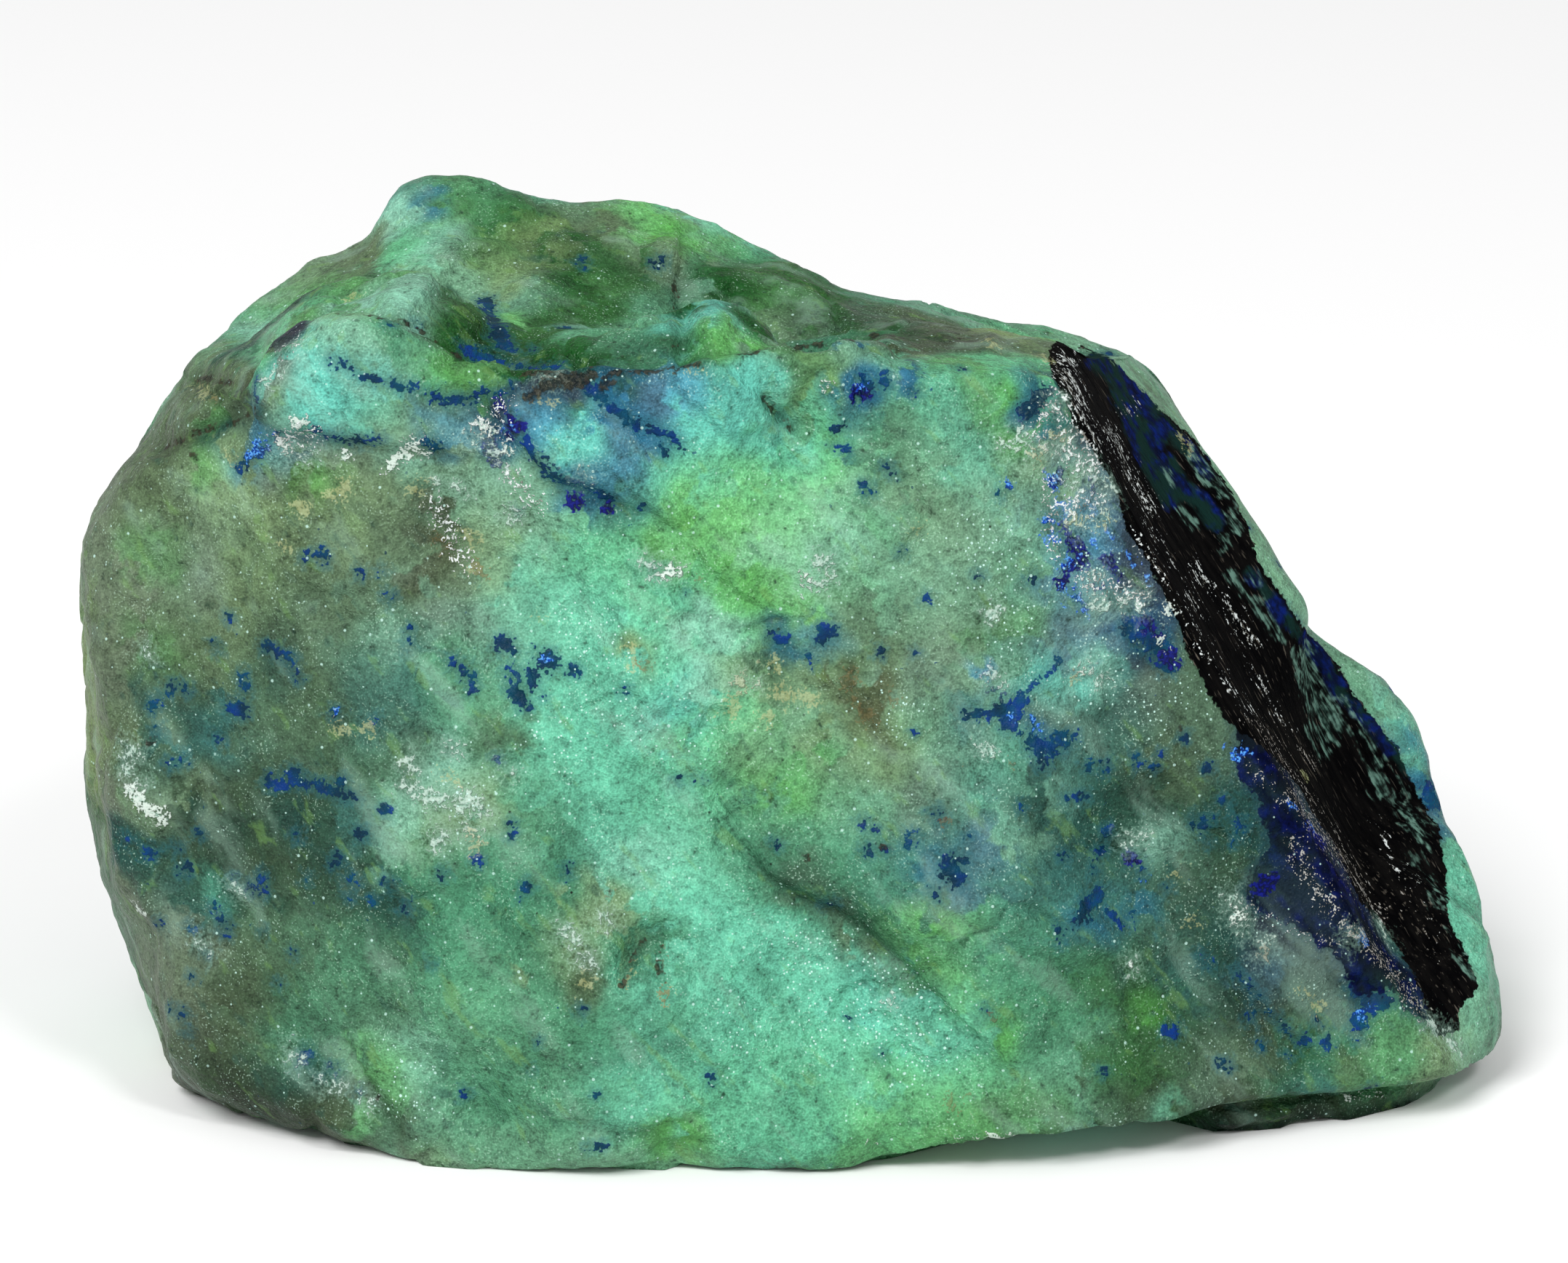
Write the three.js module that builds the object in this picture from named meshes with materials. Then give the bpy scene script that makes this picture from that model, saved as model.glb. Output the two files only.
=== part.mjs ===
// A rough, unpolished lump of azurite malachite: one piece of pale chrysocolla rock, about 65 mm long, broken
// on every side, with a shallow basin in its top and a steep slab face on its right flank.
//
// Frame: +X to the right, -Y to the front, +Z up, millimetres. The origin is on the table under the middle of the stone.
//
// The lump is the space inside a set of break faces, an outline and a top relief, all given by one signed distance.
// Scoops are shell-shaped chips out of it, and lumps swell from it. A sphere of small triangles, pushed out from a
// point inside until it meets that surface, makes the solid.
import * as THREE from "three";
import { ImprovedNoise } from "three/addons/math/ImprovedNoise.js";
import { mergeVertices } from "three/addons/utils/BufferGeometryUtils.js";

// ---- Driving dimensions ----
const HEART = new THREE.Vector3(-1, 0, 18); // the point inside from which every bit of the skin can be seen
const SPHERE_DETAIL = 21; // each of an icosahedron's 20 faces becomes (detail + 1) squared triangles
const FARTHEST = 45; // the skin lies nearer to the heart than this
const MOST_STEPS = 40;
const STEP_SHARE = 0.85; // of the distance to the skin, taken in one step towards it
const SKIN_TOLERANCE = 0.002;
const SAME_PLACE = 1e-4; // corners of the sphere this close are one corner
const EVEN_OUT_ROUNDS = 24; // how often the triangles are evened out over the skin
const KEPT_SHARE = 0.4; // how much of its own place a corner keeps in a round, against its neighbours' middle
const BREAK_ROUNDING = 0.8; // how softly two break faces meet
const SLAB_ROUNDING = 0.2; // the slab's own edges are crisper
const SLAB_UNEVEN_SHARE = 0.3; // of the unevenness that the other faces have
const EDGE_REACH = 0.7; // corners this near one of the slab's edges are drawn onto it
const EDGE_ROUNDS = 3;
const EDGE_STEP = 0.05; // the length over which the slope across the edge is measured
const OUTLINE_ROUNDING = 0.6; // how softly the outline cuts them
const CHIP_EDGE = 0.9; // how softly a scoop's rim meets the skin
const LUMP_EDGE = 1.6; // how softly a lump's foot does
const RIM_EDGE = 2.4; // how softly the rim's foot does
const TOP_SLOPE_SHARE = 0.8; // a height difference over the top, as a distance from its skin
const REST_FLAT = 0.03; // skin this close to the table is ground flat onto it

// The sight line for the outline: an eye in front of the stone and above it.
const SIGHT_TILT = THREE.MathUtils.degToRad(18);
const SIGHT_DISTANCE = 320;
const SIGHT_CENTRE = new THREE.Vector3(0, 0, 20.1);
const toEye = new THREE.Vector3(0, -Math.cos(SIGHT_TILT), Math.sin(SIGHT_TILT));
const sightUp = new THREE.Vector3(0, Math.sin(SIGHT_TILT), Math.cos(SIGHT_TILT));
const RIM_DEPTH = 0.5; // how far behind the sight centre the stone is at its widest
const RIM_CURVE = 0.014; // how fast it narrows in front of and behind that, per millimetre

// The outline from that eye, on the plane through the sight centre: right and up of the centre.
const OUTLINE = [
  [-27.8, -26.0], [-28.4, -21.0], [-29.9, -15.2], [-31.3, -11.5], [-32.1, -7.0], [-31.9, -3.0],
  [-32.5, 2.0], [-32.1, 4.9], [-29.8, 8.9], [-27.2, 12.8], [-24.5, 15.1], [-21.8, 17.1], [-19.1, 17.7],
  [-17.8, 20.2], [-16.2, 21.0], [-13.9, 20.8], [-12.0, 20.0], [-9.9, 19.7], [-5.9, 19.7], [-3.9, 19.0],
  [0.0, 17.1], [4.0, 15.3], [8.0, 14.5], [12.1, 14.1], [14.6, 13.2], [17.3, 11.6], [18.9, 9.0], [20.1, 7.3],
  [22.1, 3.8], [24.0, 0.6], [26.2, -1.2], [28.3, -3.1], [29.6, -5.1], [29.9, -7.1], [31.6, -11.2], [32.3, -13.8],
  [32.9, -17.2], [33.0, -19.1], [31.0, -20.6], [29.0, -26.0],
];

// ---- Break faces: a point on each, the way it faces round from the front (positive to the right), and its tilt up ----
const BREAK_FACES = [
  { name: "front, middle", at: [-3, -15.6, 8], round: 2, up: 12 },
  { name: "front, left", at: [-20, -13.2, 12], round: -23, up: 8 },
  { name: "front, right", at: [9, -16.3, 6], round: 20, up: 13 },
  { name: "left end", at: [-36.4, -2, 16], round: -84, up: 3 },
  { name: "left shoulder", at: [-32.2, 2, 32.8], round: -78, up: 42 },
  { name: "behind the slab", at: [27.6, 10, 14], round: 112, up: 27 },
  { name: "back, right", at: [12, 18, 14], round: 152, up: 22 },
  { name: "back", at: [-6, 20.5, 12], round: 183, up: 13 },
  { name: "back, left", at: [-23, 13, 18], round: -128, up: 16 },
  { name: "under the left corner", at: [-26.5, -8.5, 0.4], round: -38, up: -50 },
  { name: "under the right lip", at: [22, -13.6, 1.6], round: 14, up: -50 },
  { name: "under the back", at: [0, 18, 2], round: 178, up: -50 },
];

const SLAB_FACE = { name: "slab face", at: [20.2, -8.8, 19.8], round: 82, up: 28.8 }; // flatter than the others

// ---- The top: heights that the skin passes by, across and back ----
const TOP_REACH = 2.5; // how far each height is felt
const TOP_HEIGHTS = [
  // the front crest, left to right
  [-24, -9.5, 35.0], [-20, -9.5, 38.0], [-15.5, -9.5, 37.0], [-11, -9.5, 34.8], [-6, -9.5, 35.2], [-1, -9.5, 36.2],
  [4, -9, 37.2], [8, -9, 37.4], [12.5, -8.5, 37.2],
  // the floor of the basin behind it
  [-25, -5, 33.8], [-20, -5, 36.8], [-15, -5.5, 33.4], [-10, -5.5, 32.0], [-5, -5.5, 32.0], [0, -5.5, 32.8],
  [4, -5, 35.0], [9, -4.5, 36.4], [14, -4, 34.0],
  // the basin's back wall
  [-25, -1.5, 33.6], [-20, -1.5, 36.0], [-15, -1.5, 35.8], [-10, -2, 34.6], [-5, -2, 34.6], [0, -2, 34.4],
  [5, -1, 35.0], [10, -1, 34.8],
  // the low ridge on top of that wall
  [-25, 2, 33.8], [-20, 2, 36.8], [-15.5, 1.5, 38.2], [-11, 1.5, 38.6], [-6, 1.5, 38.2], [-1, 2, 36.0],
  [4, 2, 35.0], [9, 2, 33.6], [14, 2, 32.4],
  // the groove behind that ridge
  [-24, 5.5, 34.4], [-19.5, 5.5, 37.2], [-15, 5, 37.6], [-10, 5, 37.0], [-5, 5, 36.6], [0, 5.5, 35.8], [5, 6, 33.6],
  [10, 6, 32.2], [15, 6, 31.0],
  // the back ridge, with the peak at its left
  [-24, 9, 35.0], [-20.5, 9, 37.4], [-17, 9, 44], [-14, 9, 43], [-10, 9.5, 40.6], [-5.5, 9.5, 40.4], [-1.5, 9.5, 38.6],
  [3, 10, 36.0], [8, 10, 35.0], [13, 10, 34.0], [17, 10, 32.0],
  // the fall behind it
  [-22, 13, 33.5], [-15, 14, 36], [-8, 14, 35], [0, 14, 32], [8, 14, 29], [15, 14, 27],
];

// ---- Scoops, eggs that bite into the skin, and lumps, which swell out of it ----
// at: the place on the skin; half: half sizes across, front to back and up; turn: degrees clockwise, seen from the
// front; deep: how far a scoop bites in or a lump stands out.
const SCOOPS = [
  { name: "hollow under the top block", at: [-13.0, -11.6, 27.0], half: [13, 16, 10], turn: 38, deep: 0.35 },
  { name: "shell hollow, low in the middle", at: [2.6, -15.4, 8.8], half: [13, 9, 7], turn: 35, deep: 0.9 },
  { name: "pit left of it", at: [-5.4, -15.6, 10.8], half: [5, 5, 4.4], turn: 0, deep: 0.5 },
  { name: "notch by the kite face", at: [0.2, -10.4, 33.6], half: [2.6, 3, 4], turn: -25, deep: 0.9 },
  { name: "low left flat", at: [-18, -14.6, 5], half: [18, 22, 9], turn: 24, deep: 0.4 },
  { name: "right of the middle", at: [9, -13.6, 22], half: [15, 16, 15], turn: 20, deep: 0.6 },
  { name: "front edge bite", at: [-4.6, -17.0, 0.6], half: [3, 3, 2], turn: 0, deep: 0.5 },
  { name: "front edge bite, right", at: [6.0, -16.6, 0.6], half: [3.6, 3, 2.2], turn: 0, deep: 0.5 },
];
const LUMPS = [
  { name: "top block", at: [-19.2, -9.6, 34.6], half: [5.8, 5, 4.4], turn: -10, deep: 1.0 },
  { name: "clouded block", at: [-8.4, -10.9, 32.0], half: [4, 4, 4.2], turn: 30, deep: 0.6 },
  { name: "kite face", at: [-3.5, -10.3, 33.4], half: [3.6, 4, 4.2], turn: 10, deep: 0.5 },
  { name: "swell of the middle", at: [-6.0, -13.0, 20.5], half: [9, 10, 16], turn: -25, deep: 0.4 },
  { name: "lens over the low ledge", at: [-7.4, -16.1, 7.4], half: [4.6, 3.4, 2.6], turn: -14, deep: 0.7 },
  { name: "brow over the shell hollow", at: [7.6, -14.8, 13.2], half: [11, 8, 5], turn: 36, deep: 0.45 },
];

// What stands out of the slab face itself, along its rear edge and at its foot.
const RIM = [
  { name: "rim and knob behind the slab", at: [30.4, 10, 8.0], half: [15, 8, 2.5], turn: 60, deep: 8 },
  { name: "right lip", at: [30.0, -1, 4.4], half: [3.6, 6.5, 4.2], turn: 20, deep: 6.5 },
];

// Swells and hollows that every break leaves: how long, how high, and where in the noise each size is read.
const UNEVEN = [
  { long: 11, high: 0.5, from: [0, 0, 3] },
  { long: 4.6, high: 0.36, from: [7, 0, 0] },
  { long: 2.3, high: 0.22, from: [0, 9, 0] },
];

// Chips all round the sides turned away from that eye: how many, from how far up to how far down, how wide and how
// deep, from least to most.
const CHIP_COUNT = 54;
const CHIP_RISE = [0.85, -0.65];
const CHIP_TO_EYE = -0.45; // none faces nearer to the eye than this
const CHIP_RADIUS = [6, 15];
const CHIP_DEPTH = [0.4, 1.3];
const CHIP_SEED = 7;

const radians = THREE.MathUtils.degToRad;

// A signed distance's two ways of meeting: the larger or the smaller of two, rounded where they are alike.
function softMax(a, b, rounding) {
  const near = Math.max(rounding - Math.abs(a - b), 0) / rounding;
  return Math.max(a, b) + (near * near * rounding) / 4;
}
const softMin = (a, b, rounding) => -softMax(-a, -b, rounding);

// The half space behind a break face.
function breakFace({ at, round, up }) {
  const normal = new THREE.Vector3(
    Math.sin(radians(round)) * Math.cos(radians(up)),
    -Math.cos(radians(round)) * Math.cos(radians(up)),
    Math.sin(radians(up)),
  );
  const offset = normal.dot(new THREE.Vector3(...at));
  return (p) => normal.dot(p) - offset;
}

// The outline as seen from the eye, narrowing in front of the rim and behind it.
const outlineCurve = new THREE.Shape();
outlineCurve.moveTo(...OUTLINE[0]);
outlineCurve.splineThru(OUTLINE.slice(1).map(([right, up]) => new THREE.Vector2(right, up)));
const outlinePoints = outlineCurve.getPoints(2);

function distanceToOutline(right, up) {
  let nearest = Infinity; // squared, until the end
  let inside = false;
  for (let i = 0, j = outlinePoints.length - 1; i < outlinePoints.length; j = i++) {
    const a = outlinePoints[j];
    const b = outlinePoints[i];
    const alongX = b.x - a.x;
    const alongY = b.y - a.y;
    const length2 = alongX * alongX + alongY * alongY || 1;
    const share = THREE.MathUtils.clamp(((right - a.x) * alongX + (up - a.y) * alongY) / length2, 0, 1);
    nearest = Math.min(nearest, (right - a.x - share * alongX) ** 2 + (up - a.y - share * alongY) ** 2);
    if (a.y > up !== b.y > up && right < a.x + (alongX * (up - a.y)) / alongY) inside = !inside;
  }
  return inside ? -Math.sqrt(nearest) : Math.sqrt(nearest);
}

const fromCentre = new THREE.Vector3();
function outlineAround(p) {
  fromCentre.subVectors(p, SIGHT_CENTRE);
  const depth = -fromCentre.dot(toEye);
  const magnify = SIGHT_DISTANCE / (SIGHT_DISTANCE + depth);
  const narrowing = RIM_CURVE * (depth - RIM_DEPTH) ** 2;
  return distanceToOutline(fromCentre.x * magnify, fromCentre.dot(sightUp) * magnify) + narrowing;
}

// The top relief: an average of the heights near a place, the nearest counting most.
function topHeight(x, y) {
  let sum = 0;
  let weights = 1e-12;
  for (const [atX, atY, height] of TOP_HEIGHTS) {
    const weight = Math.exp(-((x - atX) ** 2 + (y - atY) ** 2) / (2 * TOP_REACH * TOP_REACH));
    sum += weight * height;
    weights += weight;
  }
  return sum / weights;
}

// A ball or egg whose near side lies `deep` beyond the skin at a place: a scoop's middle is outside the stone there,
// and a lump's inside it.
function egg({ at, half, turn, deep }, side) {
  const middle = new THREE.Vector3(...at).add(new THREE.Vector3(0, -side * (half[1] - deep), 0));
  const [cos, sin] = [Math.cos(radians(turn)), Math.sin(radians(turn))];
  const smallest = Math.min(...half);
  return ({ x, y, z }) => {
    const across = (x - middle.x) * cos - (z - middle.z) * sin;
    const up = (x - middle.x) * sin + (z - middle.z) * cos;
    return (Math.sqrt((across / half[0]) ** 2 + ((y - middle.y) / half[1]) ** 2 + (up / half[2]) ** 2) - 1) * smallest;
  };
}

const faces = BREAK_FACES.map(breakFace);
const slab = breakFace(SLAB_FACE);
const scoops = SCOOPS.map((scoop) => egg(scoop, 1));
const lumps = LUMPS.map((lump) => egg(lump, -1));
const rim = RIM.map((lump) => egg(lump, -1));
const noise = new ImprovedNoise();

const unevenness = (p) =>
  UNEVEN.reduce(
    (sum, { long, high, from }) =>
      sum + high * noise.noise(p.x / long + from[0], p.y / long + from[1], p.z / long + from[2]),
    0,
  );

// How far a point is outside the break faces and the top, and how far it is outside the slab's own face.
function outsideBreak(p, uneven) {
  let d = (p.z - topHeight(p.x, p.y)) * TOP_SLOPE_SHARE;
  for (const face of faces) d = softMax(d, face(p), BREAK_ROUNDING);
  for (const lump of lumps) d = softMin(d, lump(p), LUMP_EDGE);
  for (const scoop of scoops) d = softMax(d, -scoop(p), CHIP_EDGE);
  return d + uneven;
}
const outsideSlab = (p, uneven) => slab(p) + SLAB_UNEVEN_SHARE * uneven;
const outsideRim = (p) => rim.reduce((d, lump) => softMin(d, lump(p), RIM_EDGE), FARTHEST);

// How far a point is outside the stone, or inside it where negative.
const chips = [];
function outside(p) {
  const uneven = unevenness(p);
  let d = softMax(outsideBreak(p, uneven), outsideSlab(p, uneven), SLAB_ROUNDING);
  d = softMin(d, outsideRim(p), RIM_EDGE);
  d = softMax(d, outlineAround(p), OUTLINE_ROUNDING);
  for (const { middle, radius } of chips) d = softMax(d, radius - p.distanceTo(middle), CHIP_EDGE);
  return Math.max(d, -p.z);
}

// The skin in one direction from the heart, met by stepping inwards from a distance outside it.
function skinAlong(direction, from, target) {
  let reach = from;
  for (let i = 0; i < MOST_STEPS; i++) {
    const gap = outside(target.copy(direction).multiplyScalar(reach).add(HEART));
    if (Math.abs(gap) < SKIN_TOLERANCE) break;
    reach -= STEP_SHARE * gap;
  }
  if (target.z < REST_FLAT) target.z = 0;
  return target;
}

// The chips: shell-shaped bites, spread evenly by the golden angle over the directions that face away from the eye.
THREE.MathUtils.seededRandom(CHIP_SEED);
const pick = ([least, most]) => THREE.MathUtils.lerp(least, most, THREE.MathUtils.seededRandom());
const GOLDEN_ANGLE = Math.PI * (3 - Math.sqrt(5));
for (let i = 0; i < CHIP_COUNT; i++) {
  const rise = THREE.MathUtils.lerp(...CHIP_RISE, (i + 0.5) / CHIP_COUNT);
  const level = Math.sqrt(1 - rise * rise);
  const round = i * GOLDEN_ANGLE;
  const direction = new THREE.Vector3(level * Math.sin(round), -level * Math.cos(round), rise);
  const [radius, depth] = [pick(CHIP_RADIUS), pick(CHIP_DEPTH)];
  if (direction.dot(toEye) > CHIP_TO_EYE) continue;
  const middle = skinAlong(direction, FARTHEST, new THREE.Vector3()).addScaledVector(direction, radius - depth);
  chips.push({ middle, radius });
}

// How far a point is across the slab's outer edge, and across the foot of the rim that stands on it.
function acrossOuterEdge(p) {
  const uneven = unevenness(p);
  return outsideBreak(p, uneven) - outsideSlab(p, uneven);
}
const acrossRimFoot = (p) => outsideRim(p) - outsideSlab(p, unevenness(p));

// Draws a corner that lies near one of those edges onto it, so that the edge stays a clean line.
function ontoEdge(point, across) {
  if (Math.abs(across(point)) > EDGE_REACH) return;
  for (let round = 0; round < EDGE_ROUNDS; round++) {
    const gap = across(point);
    const slope = ["x", "y", "z"].map((axis) => {
      const beside = point.clone();
      beside[axis] += EDGE_STEP;
      return (across(beside) - gap) / EDGE_STEP;
    });
    const direction = new THREE.Vector3(...slope);
    point.addScaledVector(direction, -gap / direction.lengthSq()).sub(HEART);
    const reach = point.length();
    skinAlong(direction.copy(point).divideScalar(reach), reach, point);
  }
}

// The whole skin: a sphere of triangles pushed out to it, evened out along it, and set over the origin.
function stoneGeometry() {
  const sphere = new THREE.IcosahedronGeometry(1, SPHERE_DETAIL);
  sphere.deleteAttribute("normal");
  sphere.deleteAttribute("uv");
  const geometry = mergeVertices(sphere, SAME_PLACE);
  const position = geometry.getAttribute("position");
  const triangles = geometry.getIndex().array;
  const points = Array.from({ length: position.count }, (_, i) =>
    skinAlong(new THREE.Vector3().fromBufferAttribute(position, i).normalize(), FARTHEST, new THREE.Vector3()),
  );
  const neighbours = points.map(() => new Set());
  for (let i = 0; i < triangles.length; i += 3)
    for (let k = 0; k < 3; k++) neighbours[triangles[i + k]].add(triangles[i + ((k + 1) % 3)]);
  const direction = new THREE.Vector3();
  for (let round = 0; round < EVEN_OUT_ROUNDS; round++) {
    points.forEach((point, i) => {
      direction.set(0, 0, 0);
      for (const j of neighbours[i]) direction.add(points[j]);
      direction.divideScalar(neighbours[i].size).lerp(point, KEPT_SHARE).sub(HEART);
      const reach = direction.length();
      skinAlong(direction.divideScalar(reach), reach, point);
    });
  }
  for (const across of [acrossOuterEdge, acrossRimFoot]) points.forEach((point) => ontoEdge(point, across));
  points.forEach((point, i) => position.setXYZ(i, point.x, point.y, point.z));
  geometry.computeBoundingBox();
  const { min, max } = geometry.boundingBox;
  geometry.translate(-(min.x + max.x) / 2, -(min.y + max.y) / 2, -min.z);
  return geometry;
}

const stoneMaterial = new THREE.MeshStandardMaterial({ color: 0x6fa88c, roughness: 0.55, metalness: 0 });
const stone = new THREE.Mesh(stoneGeometry(), stoneMaterial);
stone.name = "stone";

const specimen = new THREE.Group();
specimen.add(stone);
export default specimen;
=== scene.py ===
"""An azurite malachite specimen: one rough, unpolished lump of pale chrysocolla rock on a white studio table.

The stone is pale green and aqua, with crisp azurite flecks and veins, white and ochre crusts, and one steep
slab face coated with black, fibrous mineral. Lengths are in millimetres until a mesh is finished, which is in
metres.
"""

import math
import random
from typing import NamedTuple

import bmesh
import bpy
import numpy as np
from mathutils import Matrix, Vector, noise
from mathutils.bvhtree import BVHTree
from mathutils.kdtree import KDTree


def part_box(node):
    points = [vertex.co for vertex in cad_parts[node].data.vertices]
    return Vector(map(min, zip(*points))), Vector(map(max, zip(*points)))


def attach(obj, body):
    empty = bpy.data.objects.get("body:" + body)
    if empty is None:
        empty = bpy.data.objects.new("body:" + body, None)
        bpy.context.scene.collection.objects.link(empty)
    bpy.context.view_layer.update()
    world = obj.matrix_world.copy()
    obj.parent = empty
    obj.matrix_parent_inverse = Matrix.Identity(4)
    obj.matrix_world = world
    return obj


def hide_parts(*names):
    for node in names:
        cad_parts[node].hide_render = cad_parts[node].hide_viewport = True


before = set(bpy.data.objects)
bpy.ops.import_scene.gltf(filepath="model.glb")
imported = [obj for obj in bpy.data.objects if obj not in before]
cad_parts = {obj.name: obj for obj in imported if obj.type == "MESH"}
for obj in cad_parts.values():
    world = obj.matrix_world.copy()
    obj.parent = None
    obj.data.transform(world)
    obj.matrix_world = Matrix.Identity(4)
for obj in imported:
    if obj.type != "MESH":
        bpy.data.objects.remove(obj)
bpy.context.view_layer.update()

bl_info = {
    "name": "Azurite malachite specimen",
    "version": (1, 0, 0),
    "blender": (4, 5, 0),
    "location": "3D View > Sidebar > Specimen",
    "description": "Builds a rough azurite malachite specimen and the studio table that it lies on",
    "category": "Object",
}

MILLIMETRE = 0.001

# ---- The camera: where it aims, how far off it is and how steeply it looks down ----
AIM = Vector((-0.36, -2.375, 20.1))
TILT = math.radians(18)
CAMERA_DISTANCE = 320.0
LENS = 160.0
SENSOR = 36.0
PICTURE_SIZE = (2156, 1736)
TO_EYE = Vector((0, -math.cos(TILT), math.sin(TILT)))
EYE_UP = Vector((0, math.sin(TILT), math.cos(TILT)))
EYE = AIM + TO_EYE * CAMERA_DISTANCE
PIXEL = SENSOR / LENS * CAMERA_DISTANCE / PICTURE_SIZE[0]  # at the aim's distance

# ---- The stage: lamps in metres, and the table's finish ----
MAIN_LAMP = (-0.35, -0.55, 0.75)
MAIN_LAMP_SIZE = 0.45
SMALL_LAMP = (0.25, -0.45, 0.55)
SMALL_LAMP_SIZE = 0.12
SMALL_LAMP_SHARE = 0.18  # of the main lamp's power
TABLE_ROUGHNESS = 0.8
TABLE_GLOSS = 0.2
FARTHEST_SEEN = 20

# ---- The slab face: a point on it, the way it faces, and the line of its slope ----
SLAB_POINT = Vector((19.84, -11.175, 19.8))
SLAB_NORMAL = Vector((0.8678, -0.1220, 0.4818))
SLOPE = Vector((0.485, 0.0, -0.8745))
SLOPE_TURN = math.atan2(-SLOPE.z, SLOPE.x)

# ---- Minerals, as they look in even white light, with the tones of painted shade and painted glints ----
TONES = {
    "frost": (142, 196, 174), "ice": (112, 198, 182), "aqua": (112, 190, 162), "mint": (112, 190, 144),
    "lime": (122, 192, 124), "leaf": (96, 166, 82), "seafoam": (124, 172, 148), "jade": (100, 158, 124),
    "fir": (80, 140, 110), "sage": (120, 148, 118), "straw": (136, 164, 124), "khaki": (122, 144, 98),
    "dusk": (102, 122, 92), "lichen": (90, 118, 96), "moss": (76, 108, 84), "bog": (38, 76, 62),
    "olive": (80, 96, 70), "peat": (66, 78, 58), "umber": (76, 70, 48), "fern": (96, 152, 94),
    "forest": (52, 102, 50), "pine": (32, 96, 38), "haze": (86, 152, 174), "deep haze": (28, 98, 136),
    "lagoon": (72, 126, 120), "deep teal": (42, 86, 80), "slate": (84, 116, 136), "pale": (126, 172, 142),
    "shaded grey": (112, 126, 106), "dark slate": (56, 66, 78), "dark violet": (46, 50, 68),
    "ash": (112, 128, 116),
    # in and on the rock, with painted shade and painted glints among them
    "painted_shade": (14, 34, 24), "cloud": (166, 206, 184), "cloud shade": (42, 78, 50), "wisp": (112, 156, 84),
    "dark wisp": (52, 92, 80), "crack": (38, 66, 44), "bloom": (196, 228, 208), "pore": (22, 50, 36),
    "pit": (28, 58, 42), "grain": (20, 26, 20), "painted_glint": (206, 246, 234),
    # azurite
    "azurite haze": (34, 92, 104), "teal azurite": (2, 42, 64), "sea azurite": (2, 70, 98),
    "azurite": (4, 52, 130), "navy haze": (30, 66, 84), "soot": (18, 26, 34), "midnight": (6, 10, 36),
    "navy": (12, 20, 82), "ink": (8, 12, 58), "violet": (22, 32, 124), "bright blue": (14, 72, 190),
    "sky blue": (96, 168, 236),
    # the slab
    "black": (4, 4, 5), "fibre": (18, 17, 16), "hair": (104, 98, 88), "slab teal": (20, 46, 42),
    "slab navy": (12, 22, 54), "slab blue": (14, 34, 104), "slab green": (34, 62, 54),
    "slab pale": (108, 146, 132),
    # crusts
    "crust haze": (146, 184, 166), "grey crust": (138, 178, 160), "pale crust": (196, 218, 206),
    "milk": (150, 186, 168), "white": (222, 236, 226), "ochre": (140, 128, 70), "cream": (178, 186, 138),
    "rust": (56, 46, 22), "tan": (104, 88, 54), "dark crust": (14, 18, 14), "brown crust": (54, 50, 36),
    "grey salt": (96, 94, 84), "salt": (236, 244, 242), "brown salt": (62, 56, 54),
    "tan salt": (164, 156, 144),
}
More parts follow.
